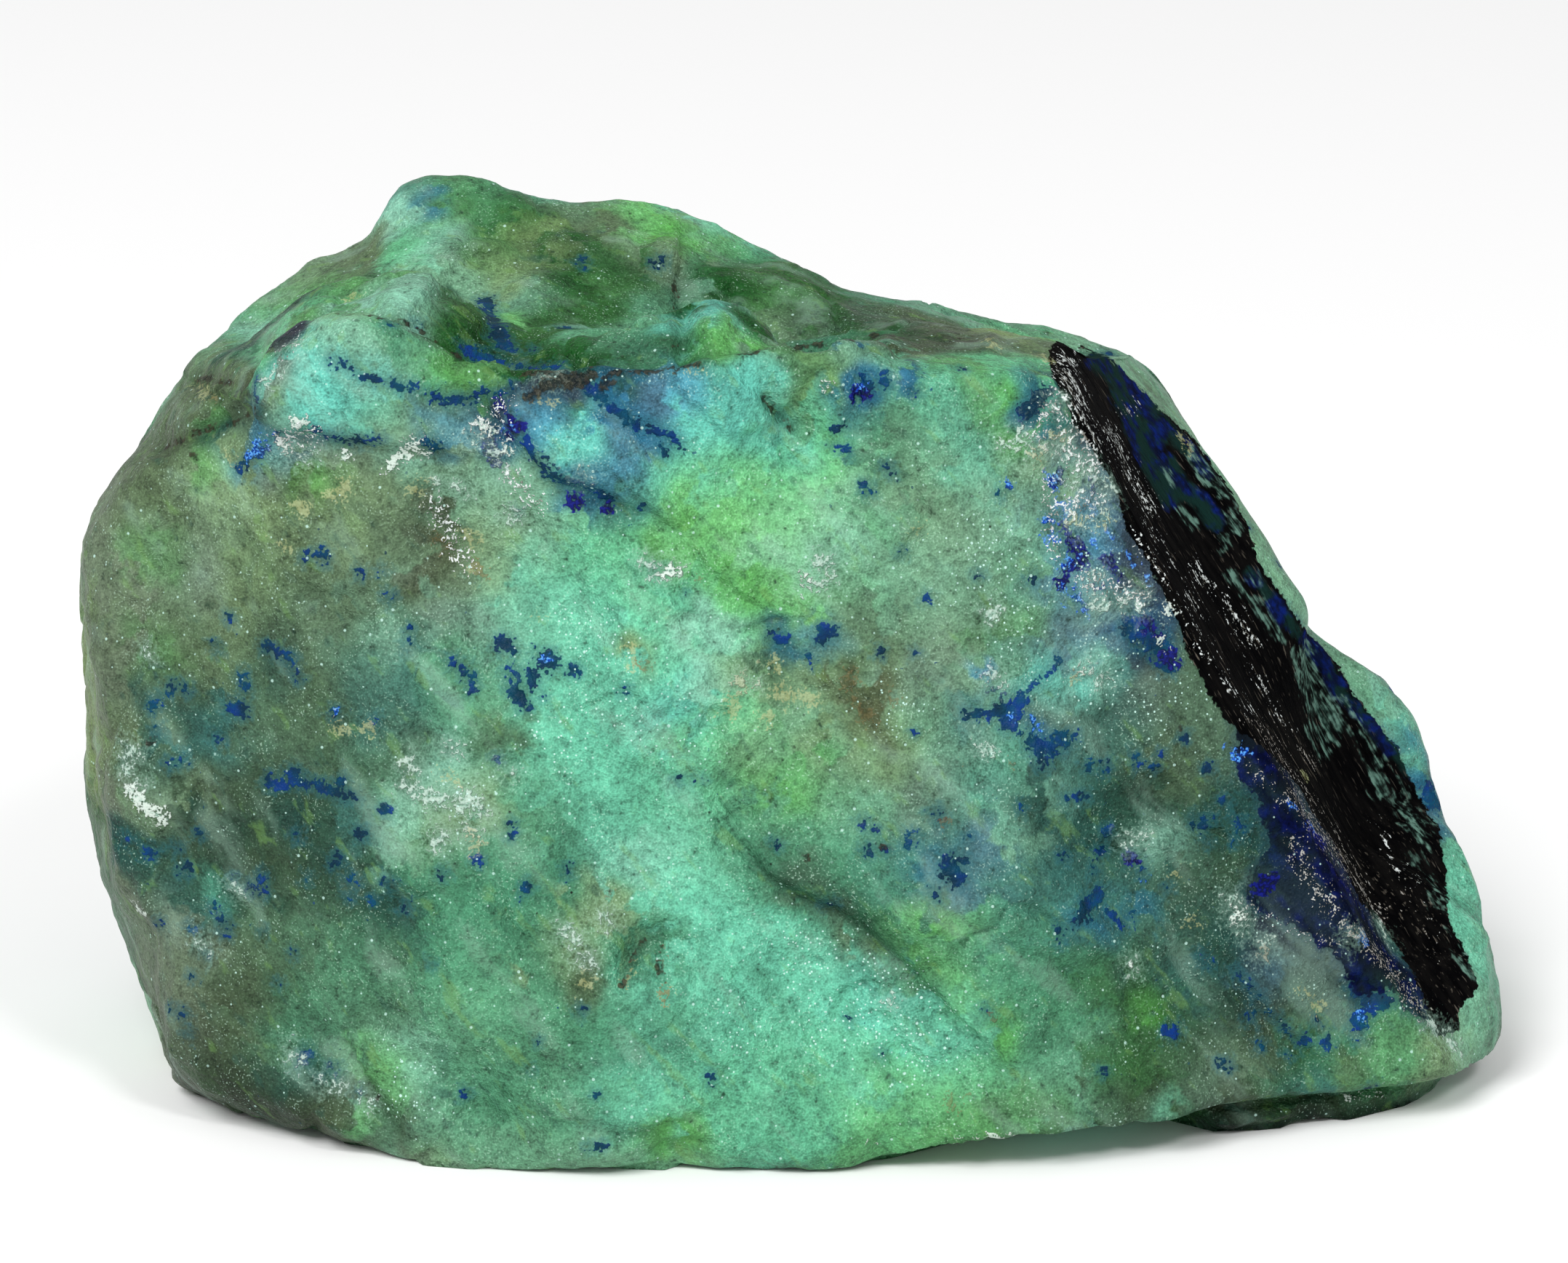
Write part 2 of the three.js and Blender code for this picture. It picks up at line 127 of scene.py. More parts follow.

# Washes of colour on the side towards the camera. A place is given as it falls in the camera's picture, in
# pixels right and down, with the reach of its colour in millimetres where that isn't the usual one. Beside
# the rock's own colour, the tones carry painted shade: darker at the left, along the bottom and on the foot.
# A few also carry painted highlight.
WASH_REACH = 2.3
WIDE_REACH = 1.5  # washes this wide or wider also lie on the sides out of the camera's sight
WASHES = {
    # The frost at (480, 459) on the top-left block is partly painted highlight.
    "frost": [
        (499, 507, 0.9), (398, 586, 0.7), (548, 520, 0.8), (480, 459, 1.3), (1130, 740, 1.6),
        (590, 1056, 1.4), (567, 1130, 1.2), (345, 461, 1.4), (546, 409, 1.2), (1600, 1153, 1.0),
        (1916, 984, 1.8), (1500, 925, 1.0), (898, 1176, 1.4), (551, 1468, 1.3), (603, 323, 1.2),
        (1091, 762, 1.0), (550, 640, 0.8), (981, 955, 0.9), (400, 620, 0.7), (545, 303, 1.0),
        (994, 878, 0.9), (958, 857, 0.9),
    ],
    # The ice at (456, 512) on the top-left block is partly painted highlight.
    "ice": [
        (1009, 592, 1.3), (448, 512, 1.6), (476, 558, 1.5), (425, 545, 1.2), (980, 565, 2.0),
        (1015, 601, 1.8), (1027, 546, 1.4), (1060, 610, 1.0), (793, 617, 1.1), (788, 586, 1.2),
        (1449, 945, 1.4), (940, 990, 1.8), (959, 440, 1.0), (1220, 1375, 2.0), (1015, 601, 1.2),
        (940, 990, 1.2), (530, 515, 0.7), (456, 512, 0.8), (587, 531, 0.7), (1019, 592, 0.9),
        (488, 514, 0.7),
    ],
    "aqua": [
        (535, 562, 1.3), (830, 1000), (880, 930), (760, 985), (826, 1040), (842, 1117), (921, 1117),
        (870, 830), (733, 800, 1.8), (758, 860), (800, 900), (1000, 645, 1.6), (920, 1190),
        (1040, 1255, 2.4), (1090, 1300, 2.4), (1140, 1340, 2.4), (1200, 1400), (1260, 1390, 2.4),
        (1150, 1430), (1250, 1460), (900, 1520), (850, 1490, 1.6), (880, 1460, 1.4), (940, 1385, 1.8),
        (900, 1350, 1.4), (1020, 1430), (1050, 1400), (1060, 1520), (1300, 1395, 2.0), (1299, 563, 1.8),
        (1354, 640, 1.4), (2035, 1340, 2.2), (2012, 1225, 2), (1943, 1022, 1.6), (1380, 1060, 1.3),
        (300, 1240, 0.8), (889, 665, 0.9), (900, 640, 0.9),
    ],
    "mint": [
        (900, 700), (1050, 640, 1.6), (1100, 610, 1.8), (940, 800), (1000, 845), (820, 760), (930, 1060),
        (1000, 1060, 1.8), (1250, 1540), (1100, 1490), (1000, 1490), (1320, 1450), (400, 445, 1.2),
        (1380, 500, 1.6), (554, 333, 1.0), (1352, 1440, 1.0),
    ],
    "lime": [
        (1050, 700), (995, 675, 1.6), (960, 722, 1.5), (979, 744, 1.3), (1066, 690, 1.8), (1050, 800),
        (1030, 780, 1.6), (1030, 1000, 1.8), (1000, 750, 1.4), (1210, 1545), (1340, 1515), (930, 716, 1.0),
        (1311, 1285), (530, 1500, 1.2), (515, 1485, 1.0), (706, 440, 0.7), (988, 455, 1.2), (880, 296, 1.6),
        (1290, 1310, 1.4), (1108, 815),
    ],
    "leaf": [
        (1103, 1061, 1.5), (1076, 1078, 1.2), (985, 462, 0.7), (1394, 590, 0.6), (1386, 535, 0.6),
        (940, 735, 0.7), (605, 512, 0.7), (1034, 815, 1.2), (1581, 1387, 0.7), (1000, 790, 0.8),
        (919, 317, 1.2), (450, 665, 0.9), (1293, 1276, 0.8), (1388, 1410, 0.8), (920, 1560, 1.0),
    ],
    "seafoam": [
        (520, 475, 1.4), (530, 515, 1.3), (720, 850), (709, 736), (740, 700), (700, 660, 1.6), (650, 850),
        (1200, 760), (1250, 800), (1400, 600), (1380, 700), (1350, 800), (1380, 900), (1198, 1061),
        (1135, 998), (1080, 998, 1.6), (1300, 700), (1330, 760), (1378, 1058), (1299, 835), (584, 1583),
        (595, 1485), (551, 392, 1.6), (735, 398, 1.3), (1110, 1060), (1420, 1100, 1.4), (640, 690, 1.4),
        (1477, 1497), (2050, 1400, 2), (1320, 1020, 1.4), (1250, 950, 1.6), (560, 850, 1.2),
        (550, 900, 1.6), (1030, 886, 0.9), (318, 608, 0.8),
    ],
    "jade": [
        (580, 1150), (600, 1450), (600, 1540), (740, 1100), (1060, 1110), (1000, 1130), (900, 1420),
        (870, 1270, 1.4), (1400, 835), (1350, 520), (1200, 700), (1250, 600), (1200, 1100), (1250, 1010),
        (876, 439, 1.6), (904, 416, 1.3), (640, 1330), (694, 1375), (666, 1474), (780, 1530),
        (402, 438, 1.6), (1200, 830), (1350, 1450), (1340, 1280), (700, 980, 1.6), (780, 1470),
        (1400, 1480), (293, 478, 1.3), (632, 283, 1.6), (1866, 957, 1.2), (1850, 1455, 1.8),
        (1904, 1428, 1.6), (500, 1370), (1085, 1180, 1.4), (1170, 600, 1.4), (575, 482, 1.0),
        (640, 935, 1.2), (1085, 480, 0.7), (592, 320, 0.9), (1908, 1015, 0.9),
    ],
    # Fir at (1060, 1196) and (1255, 1326) is painted shade on the crease's wall.
    "fir": [
        (1255, 1326, 0.8), (1060, 1196, 0.8), (580, 1000), (580, 1300), (740, 1250), (760, 1400),
        (900, 1300, 1.2), (1080, 1180, 1.3), (1120, 1235, 1.2), (1200, 1230), (1400, 1300), (1430, 1380),
        (660, 1200), (500, 1300), (1516, 1295), (1450, 1440), (700, 1500, 1.4), (700, 1545),
        (831, 1435, 1.3), (660, 1250), (430, 1420, 1.8), (906, 1299, 0.6), (540, 444, 0.8),
        (640, 1240, 1.6), (600, 1180, 1.4), (900, 470, 1.2), (1190, 620, 0.9), (545, 446, 0.9),
    ],
    "sage": [
        (200, 800), (230, 850, 1.8), (220, 1100, 1.2), (560, 700), (585, 565, 1.1), (620, 575, 1.1),
        (560, 590, 1.2), (520, 620, 1.2), (380, 545, 0.9), (480, 720, 1.8), (1200, 900), (1338, 875),
        (440, 720), (300, 760), (330, 700, 1.8), (1100, 940, 1.6), (1040, 1040, 1.2), (425, 375, 1.5),
        (1074, 462, 1.2), (540, 790), (607, 657, 1.4), (1259, 1100), (890, 355, 1.2), (1300, 900),
        (1080, 480, 1.0), (1691, 1448, 1.2), (590, 800, 1.4),
    ],
    "straw": [
        (680, 760, 1.2), (646, 736, 1.0), (690, 700, 1.4), (1050, 950, 1.4), (1320, 830), (1250, 720),
        (1437, 690, 1.2), (1990, 1440, 1.4), (298, 649, 1.0), (700, 375, 1.3), (1417, 640, 1.4),
        (1508, 830, 1.0), (600, 1140, 1.4), (640, 1110, 1.3), (830, 1263, 1.0), (790, 1300, 1.2),
        (1016, 945, 0.8),
    ],
    "khaki": [
        (1383, 461, 0.8), (400, 700), (350, 820), (460, 690, 1.6), (1150, 950, 1.6), (1198, 1014, 1.4),
        (1180, 900), (200, 1020, 1.2), (1104, 541, 1.3), (350, 640, 1.0), (1230, 1010, 1.4),
        (1140, 1010, 1.0), (718, 363, 1.4), (870, 890, 0.7), (600, 1600, 1),
    ],
    "dusk": [
        (200, 650), (215, 720, 1.6), (270, 545, 1.4), (250, 590, 1.2), (300, 900), (480, 870),
        (488, 358, 1.4), (1295, 693, 1.6), (1150, 870, 1.4), (804, 300, 1.6), (500, 750, 1.8), (180, 880),
        (264, 507, 1.2), (306, 512, 1.0), (1190, 1290, 0.9), (340, 1390), (1580, 560, 1.5), (420, 950),
        (1250, 435, 0.9), (1375, 463, 0.8), (600, 800, 1.0), (1420, 474, 1.0), (1262, 437, 0.8),
        (1300, 452, 0.8),
    ],
    # Lichen from (1100, 1212) to (1200, 1283) is painted shade on the crease's wall.
    "lichen": [
        (1655, 1030, 1.4), (1150, 1245, 0.7), (1100, 1212, 0.6), (1200, 1283, 0.7), (200, 950), (380, 850),
        (450, 800), (420, 880), (1600, 980), (430, 1250), (360, 1000), (1200, 860, 1.2), (500, 1420),
        (1550, 1030, 1.6), (1620, 1250, 1.8), (540, 1000, 1.4), (1620, 1470), (240, 1450, 1.6),
        (1210, 618, 1.0), (1213, 435, 0.8),
    ],
    "moss": [
        (220, 1250), (400, 1000), (400, 1300), (300, 1320), (420, 1060), (330, 940, 1.6), (470, 1050),
        (360, 1440), (1700, 1450), (1550, 1250), (450, 1180), (1114, 444, 1.2), (520, 1540, 1.4),
        (260, 1200, 1.4), (540, 1060, 1.2), (1660, 1400, 1.6), (1650, 1200, 1.6), (1500, 1000, 1.8),
        (520, 950), (1550, 1350), (573, 440, 0.8), (1535, 1527, 0.9), (1802, 1348, 0.9), (1815, 1383, 0.9),
        (1797, 1375, 0.9), (1660, 1490, 1.4), (1774, 1329, 1.0), (1348, 1548, 0.8), (531, 1307, 0.9),
        (1430, 1541, 0.7),
    ],
    "bog": [
        (1822, 1372, 0.7), (400, 1150), (340, 1100, 2.0), (340, 1200, 1.6), (440, 1200, 1.6),
        (1560, 1150, 1.6), (1620, 1150), (1587, 1098, 1.5), (250, 1250, 1.0), (1054, 900, 1.0),
        (1044, 940, 0.8), (512, 1235, 1.2), (1500, 1090, 1.6), (322, 1227, 0.9), (310, 1150, 1.0),
        (298, 1160, 1.0), (1710, 1380, 0.8), (1594, 1129, 0.8), (1594, 1126, 0.8),
    ],
    "olive": [
        (260, 1400), (231, 883, 1.4), (330, 1080, 1.6), (260, 1130, 1.4), (370, 1180, 1.4), (330, 560, 1.0),
        (447, 1550, 1.4), (1740, 1400, 1.2), (1606, 1060, 1.3), (255, 1463, 1.4), (575, 760, 1.4),
        (560, 800, 1.4), (1320, 470, 1.0), (1240, 475, 1.0), (1870, 1455, 0.8), (800, 1340, 0.9),
        (700, 1000, 1.0), (1324, 474, 1.2), (1355, 480, 0.9), (1200, 447, 0.8),
    ],
    # Peat along the bottom edge and on the foot is painted shade; elsewhere it is the rock's own brown.
    "peat": [
        (300, 1480), (330, 1500), (270, 1500, 1.5), (575, 720, 1.1), (590, 760, 1.3), (298, 1170, 1.0),
        (300, 525, 0.5), (500, 1580, 1.5), (420, 1530, 1.4), (1320, 466, 0.9), (1240, 462, 0.7),
        (560, 1560, 0.8), (1170, 950, 1.0), (1571, 1531, 0.8), (300, 1400, 1.2), (1697, 1529, 0.9),
        (1733, 1537, 0.8), (1661, 1533, 0.8), (1780, 1532, 0.8), (1840, 1525, 0.8),
    ],
    "umber": [
        (595, 744, 0.9), (612, 770, 0.9), (1182, 974, 1.0), (1170, 943, 0.8), (738, 542, 0.6),
        (1163, 931, 0.6), (580, 793, 0.7), (1190, 990, 0.6),
    ],
    "fern": [
        (1250, 1560), (1400, 1560), (1320, 1550, 1.6), (595, 512, 1.0), (640, 522, 0.9), (500, 430, 1.2),
        (1113, 538, 1.2), (417, 404, 1.6), (976, 323, 1.6), (280, 560, 0.8), (600, 260, 1.5),
        (450, 412, 1.4), (210, 760, 1.2), (1900, 1440, 1.4), (1094, 423, 1.2), (205, 900, 1.0),
        (913, 1572, 1.6), (1350, 545, 0.8), (280, 633, 0.7), (1380, 860, 1.2), (850, 375, 1.0),
        (1310, 505, 0.8), (690, 350, 1.4), (625, 303, 0.8), (1430, 1533, 1.0), (985, 490, 0.7),
    ],
    # Forest on the foot, from (1650, 1545) to (1850, 1535), is painted shade under its overhang.
    "forest": [
        (1581, 1527, 0.6), (1550, 1400), (700, 300, 1.8), (1080, 375, 2), (1100, 400), (1062, 421, 1.2),
        (1150, 430), (820, 400, 1.4), (770, 420, 1.6), (720, 470, 1.2), (1600, 1400, 1.6), (640, 440, 1.4),
        (1750, 1540, 0.8), (1850, 1535, 0.8), (1650, 1545, 0.8), (1800, 1450, 1.2), (1516, 1340, 1.4),
        (1518, 1491, 1.0), (632, 290, 0.8), (1082, 502, 0.8), (1560, 1480, 1.2),
    ],
    "pine": [
        (764, 383, 1.0), (1034, 421, 1.0), (800, 480, 1.2), (720, 495, 1.0), (1030, 450, 0.8),
        (931, 430, 0.5), (640, 460, 0.9), (850, 370, 0.8), (960, 480, 1.0), (1200, 445, 1.2),
        (1010, 400, 0.8), (780, 378, 0.8), (1230, 460, 0.8),
    ],
    "haze": [
        (350, 620, 0.9), (600, 625, 0.6), (860, 600, 1.1), (940, 534, 1.0), (870, 570, 1.0),
        (1358, 924, 0.5), (1458, 700, 1.4), (1137, 870, 0.8), (1490, 760, 1.2), (620, 590, 0.6),
        (585, 575, 0.5), (1500, 810, 1.0), (853, 645, 0.9), (820, 657, 0.7), (387, 602, 0.7),
        (352, 608, 0.8), (750, 578, 0.9), (1440, 700, 1.0), (740, 565, 0.8), (1187, 534, 0.4),
    ],
    "deep haze": [
        (1185, 535, 0.6), (845, 545, 1.0), (876, 586, 0.9), (860, 566, 0.9), (1188, 540, 0.7),
        (745, 548, 0.7), (1072, 882, 0.7), (1425, 550, 1.0), (1153, 593, 0.9), (800, 670, 0.8),
        (1441, 1035, 0.6), (1565, 868, 1.0), (1580, 880, 0.8), (586, 294, 0.7), (1969, 1095, 1.0),
        (1950, 1065, 0.8), (1290, 1200, 0.9), (1510, 1245, 1.0), (686, 597, 0.8), (672, 566, 0.6),
        (640, 560, 0.7),
    ],
    "lagoon": [
        (1350, 1060), (1350, 1200), (1300, 1140), (1409, 1240), (1480, 1200), (516, 920, 1.6),
        (512, 990, 1.2), (1540, 1240, 1.4), (569, 266, 1.4), (1516, 1010, 1.4), (560, 960, 1.2),
        (1250, 1180, 1.6), (300, 1010, 1.0), (1806, 1486, 0.9), (1460, 1060, 1.6), (1060, 880, 0.9),
        (1620, 1330, 1.6), (250, 1270, 1.0), (480, 1120, 1.2), (860, 690, 0.9), (1329, 966, 0.8),
        (1531, 920, 0.9),
    ],
    "deep teal": [
        (1457, 1121), (1420, 1170, 1.6), (1700, 1100, 1.0), (1700, 1060, 0.9), (1700, 1300),
        (1524, 959, 1.3), (1550, 985, 1.2), (380, 927, 1.2), (250, 1000, 1.2), (440, 1132, 1.1),
        (400, 1120, 1.0), (278, 591, 0.6), (310, 584, 0.6), (180, 1160, 1.2), (220, 1180, 1.2),
        (1620, 1290, 1.6), (1450, 545, 0.8), (290, 1240, 1.2), (1640, 1320, 1.6), (1660, 1270, 1.4),
        (540, 1240, 1.0), (1300, 1235, 0.8), (365, 572, 0.5), (1500, 490, 0.9), (1530, 560, 1.0),
        (630, 1505, 0.7), (1850, 1400, 1.0), (215, 980, 0.9), (215, 1057, 0.9), (420, 1480, 1.3),
        (1813, 1350, 1.0), (1825, 1385, 1.0), (872, 524, 0.5),
    ],
    "slate": [
        (1482, 659, 0.8), (845, 617, 0.9), (910, 540, 0.7), (1500, 700, 1.6), (1516, 756, 1.6),
        (1478, 860, 1.4), (1744, 1336, 1.6), (1530, 850, 1.0), (1350, 1181, 1.0), (430, 620, 0.8),
        (1493, 663, 0.9), (1493, 650, 1.0),
    ],
    "pale": [
        (621, 705, 0.7), (1595, 519, 2.4), (1640, 590, 1.8), (1540, 480, 1.4), (1734, 740, 1.4),
        (1745, 790, 1.4), (2019, 1436, 1.6), (1793, 895, 1.0), (480, 470, 1.0), (584, 1590, 1.8),
        (694, 1594, 1.8), (800, 1600, 1.8), (1470, 460, 1.2), (920, 1600, 1.6), (1090, 720, 1.2),
        (1400, 1150, 1.0), (1880, 930, 1.6), (1680, 660, 1.2), (575, 673, 0.9), (620, 700, 0.9),
        (632, 375, 1.2),
    ],
    # Painted shade, greyed like a soft edge, along the left edge and the lower left.
    "shaded grey": [
        (160, 899, 1.5), (150, 800, 1.4), (164, 650, 1.3), (150, 960, 1.5), (185, 1010, 1.0),
        (219, 1295, 1.6), (180, 1230, 1.0), (233, 1345, 1.6), (240, 1400, 1.2), (150, 740, 1.4),
        (170, 590, 0.8), (278, 1295, 1.0), (230, 1470, 1.0), (560, 1575, 0.8), (150, 1080, 0.8),
        (160, 840, 1.2),
    ],
    "dark slate": [
        (1573, 897, 0.6), (1812, 1333, 0.6), (1579, 811, 0.7), (1815, 1340, 0.8), (1774, 1244, 1.2),
        (1805, 1287, 1.2), (1759, 1267, 1.0), (1880, 1330, 1.0), (1830, 1320, 0.9), (755, 522, 0.7),
        (740, 542, 0.5), (1850, 1372, 0.8), (1575, 598, 1.2), (1600, 640, 1.2), (1544, 700, 0.8),
        (1560, 750, 0.8), (1540, 640, 1.0), (1500, 600, 1.2), (1756, 1293, 0.9), (1573, 899, 0.9),
        (1590, 872, 0.7), (1544, 720, 1.0), (1744, 1276, 1.0), (1774, 1310, 0.9), (766, 545, 0.5),
        (1482, 644, 0.5),
    ],
    "dark violet": [
        (413, 455, 0.6), (395, 470, 0.7), (377, 491, 0.7), (361, 518, 0.6), (352, 545, 0.5),
        (690, 570, 0.7),
    ],
    "ash": [
        (392, 500, 0.8), (375, 525, 0.7), (1680, 1500, 1.4), (470, 640, 1.2), (1250, 930, 1.2),
        (400, 640, 0.7), (1320, 880, 1.4), (250, 780, 1.4), (560, 770, 1.0), (1450, 1000, 1.4),
        (1260, 1070, 1.3), (600, 860, 1.3), (1560, 960, 1.2),
    ],
}

# Azurite in crisp flecks and veins: how wide it reaches to each side, and the places that it joins.
AZURITE = [
    (0.21, (456, 495), (480, 499), (496, 516), (520, 524), (551, 530), (571, 532), (595, 544), (626, 550),
     (666, 542), (701, 534)),
    (0.26, (610, 549), (640, 549), (668, 541)),
    (0.26, (417, 590), (440, 595), (464, 603), (488, 607), (520, 605)),
    (0.18, (350, 518), (350, 538), (354, 560)), (0.3, (385, 594), (350, 622), (330, 645)),
    (0.42, (668, 412), (676, 436), (686, 458), (697, 476)), (0.42, (640, 480), (660, 488), (682, 495)),
    (0.2, (700, 500), (730, 506), (770, 504)), (0.34, (725, 609), (738, 633), (752, 648), (766, 657)),
    (0.32, (766, 657), (797, 665), (820, 672), (837, 684)), (0.34, (813, 530), (824, 545), (837, 558)),
    (0.24, (837, 558), (858, 572), (876, 586)), (0.2, (876, 586), (896, 586), (916, 597), (932, 609)),
    (0.24, (369, 1075), (390, 1078), (405, 1073), (433, 1079), (456, 1087), (488, 1095)),
    (0.28, (622, 907), (644, 925), (650, 944)), (0.32, (705, 925), (706, 945), (721, 968)),
    (0.25, (365, 889), (385, 898), (400, 905), (410, 930)), (0.3, (334, 930), (338, 945)),
    (0.25, (1330, 983), (1355, 984), (1378, 979)),
    (0.5, (1378, 979), (1390, 995), (1397, 975), (1401, 966)),
    (0.42, (1417, 1023), (1441, 1026), (1469, 1013)), (0.3, (1429, 1030), (1433, 1048)),
    (0.22, (1524, 1141), (1518, 1158), (1512, 1173)), (0.16, (1463, 1095), (1481, 1096), (1492, 1094)),
    (0.24, (1556, 1179), (1566, 1190), (1569, 1202)), (0.5, (1508, 1230), (1492, 1252)),
    (0.2, (1525, 1257), (1543, 1274)), (0.18, (1457, 1275), (1457, 1296)),
    (0.5, (1307, 1196), (1316, 1208)), (0.3, (1305, 1182), (1324, 1184)),
    (0.16, (1417, 942), (1440, 924), (1457, 907)), (0.55, (1599, 890), (1607, 912)),
    (0.55, (1556, 858), (1575, 873), (1598, 890)), (0.35, (1457, 650), (1453, 664)),
    (0.3, (1433, 560), (1417, 566)), (0.45, (1409, 568), (1425, 556), (1438, 540)),
    (0.16, (1698, 1332), (1716, 1356), (1740, 1388), (1762, 1408), (1790, 1430)),
    (0.5, (1872, 1364), (1890, 1376), (1904, 1374)), (0.5, (1882, 1386), (1868, 1408)),
    (0.3, (1868, 1408), (1864, 1424)), (0.55, (1868, 1352), (1880, 1366)),
    (0.3, (1813, 905), (1839, 938), (1862, 980)), (0.36, (1862, 980), (1889, 1000), (1916, 1034)),
    (0.4, (1722, 785), (1735, 800)), (0.3, (1735, 800), (1760, 830), (1787, 868)),
    (0.45, (1962, 1085), (1972, 1108)), (0.35, (1654, 680), (1670, 717)), (0.25, (1528, 505), (1542, 520)),
    (0.35, (595, 613), (602, 616)), (0.22, (579, 609), (586, 611)),
    (0.24, (1490, 838), (1484, 828), (1476, 815)), (0.3, (405, 1065), (410, 1072)),
    (0.16, (1206, 1139), (1185, 1131)), (0.14, (518, 784), (528, 785)), (0.16, (1130, 1243), (1147, 1243)),
]
# Single flecks: right, down, half width.
AZURITE_FLECKS = [
    (444, 762, 0.36), (448, 768, 0.3), (420, 767, 0.28), (498, 791, 0.2), (496, 784, 0.14),
    (535, 823, 0.24), (534, 818, 0.2), (315, 850, 0.26), (314, 844, 0.16), (298, 888, 0.22),
    (301, 896, 0.16), (324, 972, 0.46), (332, 978, 0.34), (302, 1014, 0.24), (212, 968, 0.34),
    (233, 948, 0.2), (216, 1002, 0.2), (253, 1044, 0.26), (230, 1052, 0.2), (258, 950, 0.18),
    (405, 1066, 0.5), (468, 1077, 0.36), (471, 1090, 0.3), (531, 1115, 0.26), (496, 1146, 0.28),
    (207, 1172, 0.34), (174, 1154, 0.24), (255, 1192, 0.36), (245, 1166, 0.26), (275, 1145, 0.22),
    (322, 1208, 0.3), (344, 1219, 0.36), (360, 1224, 0.24), (298, 1248, 0.34), (306, 1266, 0.24),
    (310, 1281, 0.34), (265, 1275, 0.28), (219, 1269, 0.26), (564, 866, 0.18), (567, 880, 0.18),
    (558, 891, 0.16), (692, 884, 0.36), (684, 892, 0.24), (705, 893, 0.22), (700, 888, 0.3),
    (751, 908, 0.56), (760, 914, 0.36), (791, 919, 0.3), (783, 920, 0.24), (708, 922, 0.3),
    (702, 932, 0.22), (731, 933, 0.34), (730, 946, 0.22), (747, 957, 0.14), (460, 982, 0.3),
    (516, 990, 0.22), (686, 1046, 0.22), (705, 1135, 0.22), (704, 1148, 0.14), (658, 1182, 0.22),
    (608, 1202, 0.24), (723, 1220, 0.26), (716, 1229, 0.14), (529, 1213, 0.26), (540, 1215, 0.18),
    (464, 1180, 0.32), (456, 1190, 0.2), (556, 1247, 0.24), (411, 1148, 0.26), (282, 1312, 0.18),
    (263, 1342, 0.16), (361, 1283, 0.16), (403, 1310, 0.18), (593, 1326, 0.16), (480, 1208, 0.22),
    (481, 1232, 0.2), (420, 1206, 0.18), (362, 1202, 0.24), (490, 1216, 0.18), (512, 1236, 0.24),
    (240, 941, 0.2), (1188, 535, 0.56), (1186, 524, 0.36), (1216, 525, 0.34), (1258, 539, 0.26),
    (1320, 505, 0.26), (1262, 513, 0.14), (1220, 642, 0.26), (1228, 651, 0.24), (1188, 668, 0.26),
    (1196, 676, 0.2), (1239, 760, 0.2), (1275, 822, 0.22), (1374, 681, 0.2), (1384, 670, 0.14),
    (1419, 792, 0.24), (1346, 793, 0.22), (1210, 897, 0.22), (1258, 897, 0.14), (1366, 948, 0.22),
    (1378, 958, 0.16), (1356, 924, 0.16), (1421, 996, 0.3), (1496, 1052, 0.22), (1518, 1050, 0.24),
    (1518, 1061, 0.2), (1560, 1038, 0.18), (1566, 1052, 0.22), (1589, 1054, 0.26), (1594, 1038, 0.2),
    (1627, 1015, 0.24), (1662, 1056, 0.26), (1682, 1104, 0.2), (1289, 1119, 0.26), (1405, 1112, 0.22),
    (1194, 1167, 0.32), (1251, 1154, 0.42), (1218, 1166, 0.16), (1330, 1149, 0.18), (1287, 1231, 0.24),
    (1508, 1195, 0.26), (1463, 1177, 0.22), (1605, 1222, 0.2), (1554, 1178, 0.28), (1477, 1270, 0.24),
    (1554, 1256, 0.2), (1650, 1133, 0.36), (1640, 1128, 0.24), (1660, 1155, 0.24), (1702, 1129, 0.26),
    (1714, 1141, 0.22), (1696, 1153, 0.22), (1670, 1126, 0.2), (1652, 1312, 0.2), (1661, 1324, 0.24),
    (1614, 1417, 0.36), (1604, 1420, 0.3), (1686, 1464, 0.3), (1676, 1460, 0.2), (1719, 1394, 0.3),
    (1732, 1434, 0.3), (1790, 1431, 0.34), (1822, 1434, 0.36), (1814, 1403, 0.26), (1770, 1451, 0.18),
    (1883, 1494, 0.3), (1515, 1475, 0.2), (1211, 1448, 0.18), (1169, 1400, 0.16), (1356, 1387, 0.22),
    (1066, 1160, 0.2), (781, 1198, 0.24), (779, 1193, 0.14), (860, 951, 0.16), (862, 945, 0.12),
    (941, 812, 0.12), (900, 781, 0.12), (419, 1450, 0.4), (408, 1458, 0.24), (458, 1468, 0.3),
    (461, 1478, 0.22), (441, 1480, 0.16), (491, 1504, 0.16), (233, 1386, 0.22), (252, 1394, 0.3),
    (260, 1421, 0.18), (382, 1350, 0.16), (639, 1504, 0.24), (798, 1391, 0.18), (793, 1392, 0.14),
    (820, 1507, 0.18), (809, 1578, 0.16), (825, 1575, 0.2), (979, 1476, 0.18), (978, 1488, 0.14),
    (729, 1471, 0.14), (740, 1432, 0.12), (780, 451, 0.42), (902, 363, 0.3), (910, 358, 0.24),
    (798, 360, 0.24), (804, 368, 0.16), (572, 445, 0.26), (536, 443, 0.22), (730, 480, 0.2),
    (884, 696, 0.14), (713, 704, 0.14), (701, 477, 0.3), (916, 621, 0.22), (906, 614, 0.18),
    (1153, 588, 0.34), (1146, 612, 0.22), (1162, 617, 0.22), (1137, 870, 0.46), (1130, 880, 0.3),
    (1066, 874, 0.34), (1078, 880, 0.26), (1112, 900, 0.26), (1118, 911, 0.2), (1776, 764, 0.14),
    (1443, 715, 0.2), (1500, 1246, 0.3), (953, 1067, 0.12), (968, 1073, 0.12), (933, 1071, 0.12),
    (1258, 1008, 0.16), (1385, 978, 0.4), (1372, 972, 0.26),
]
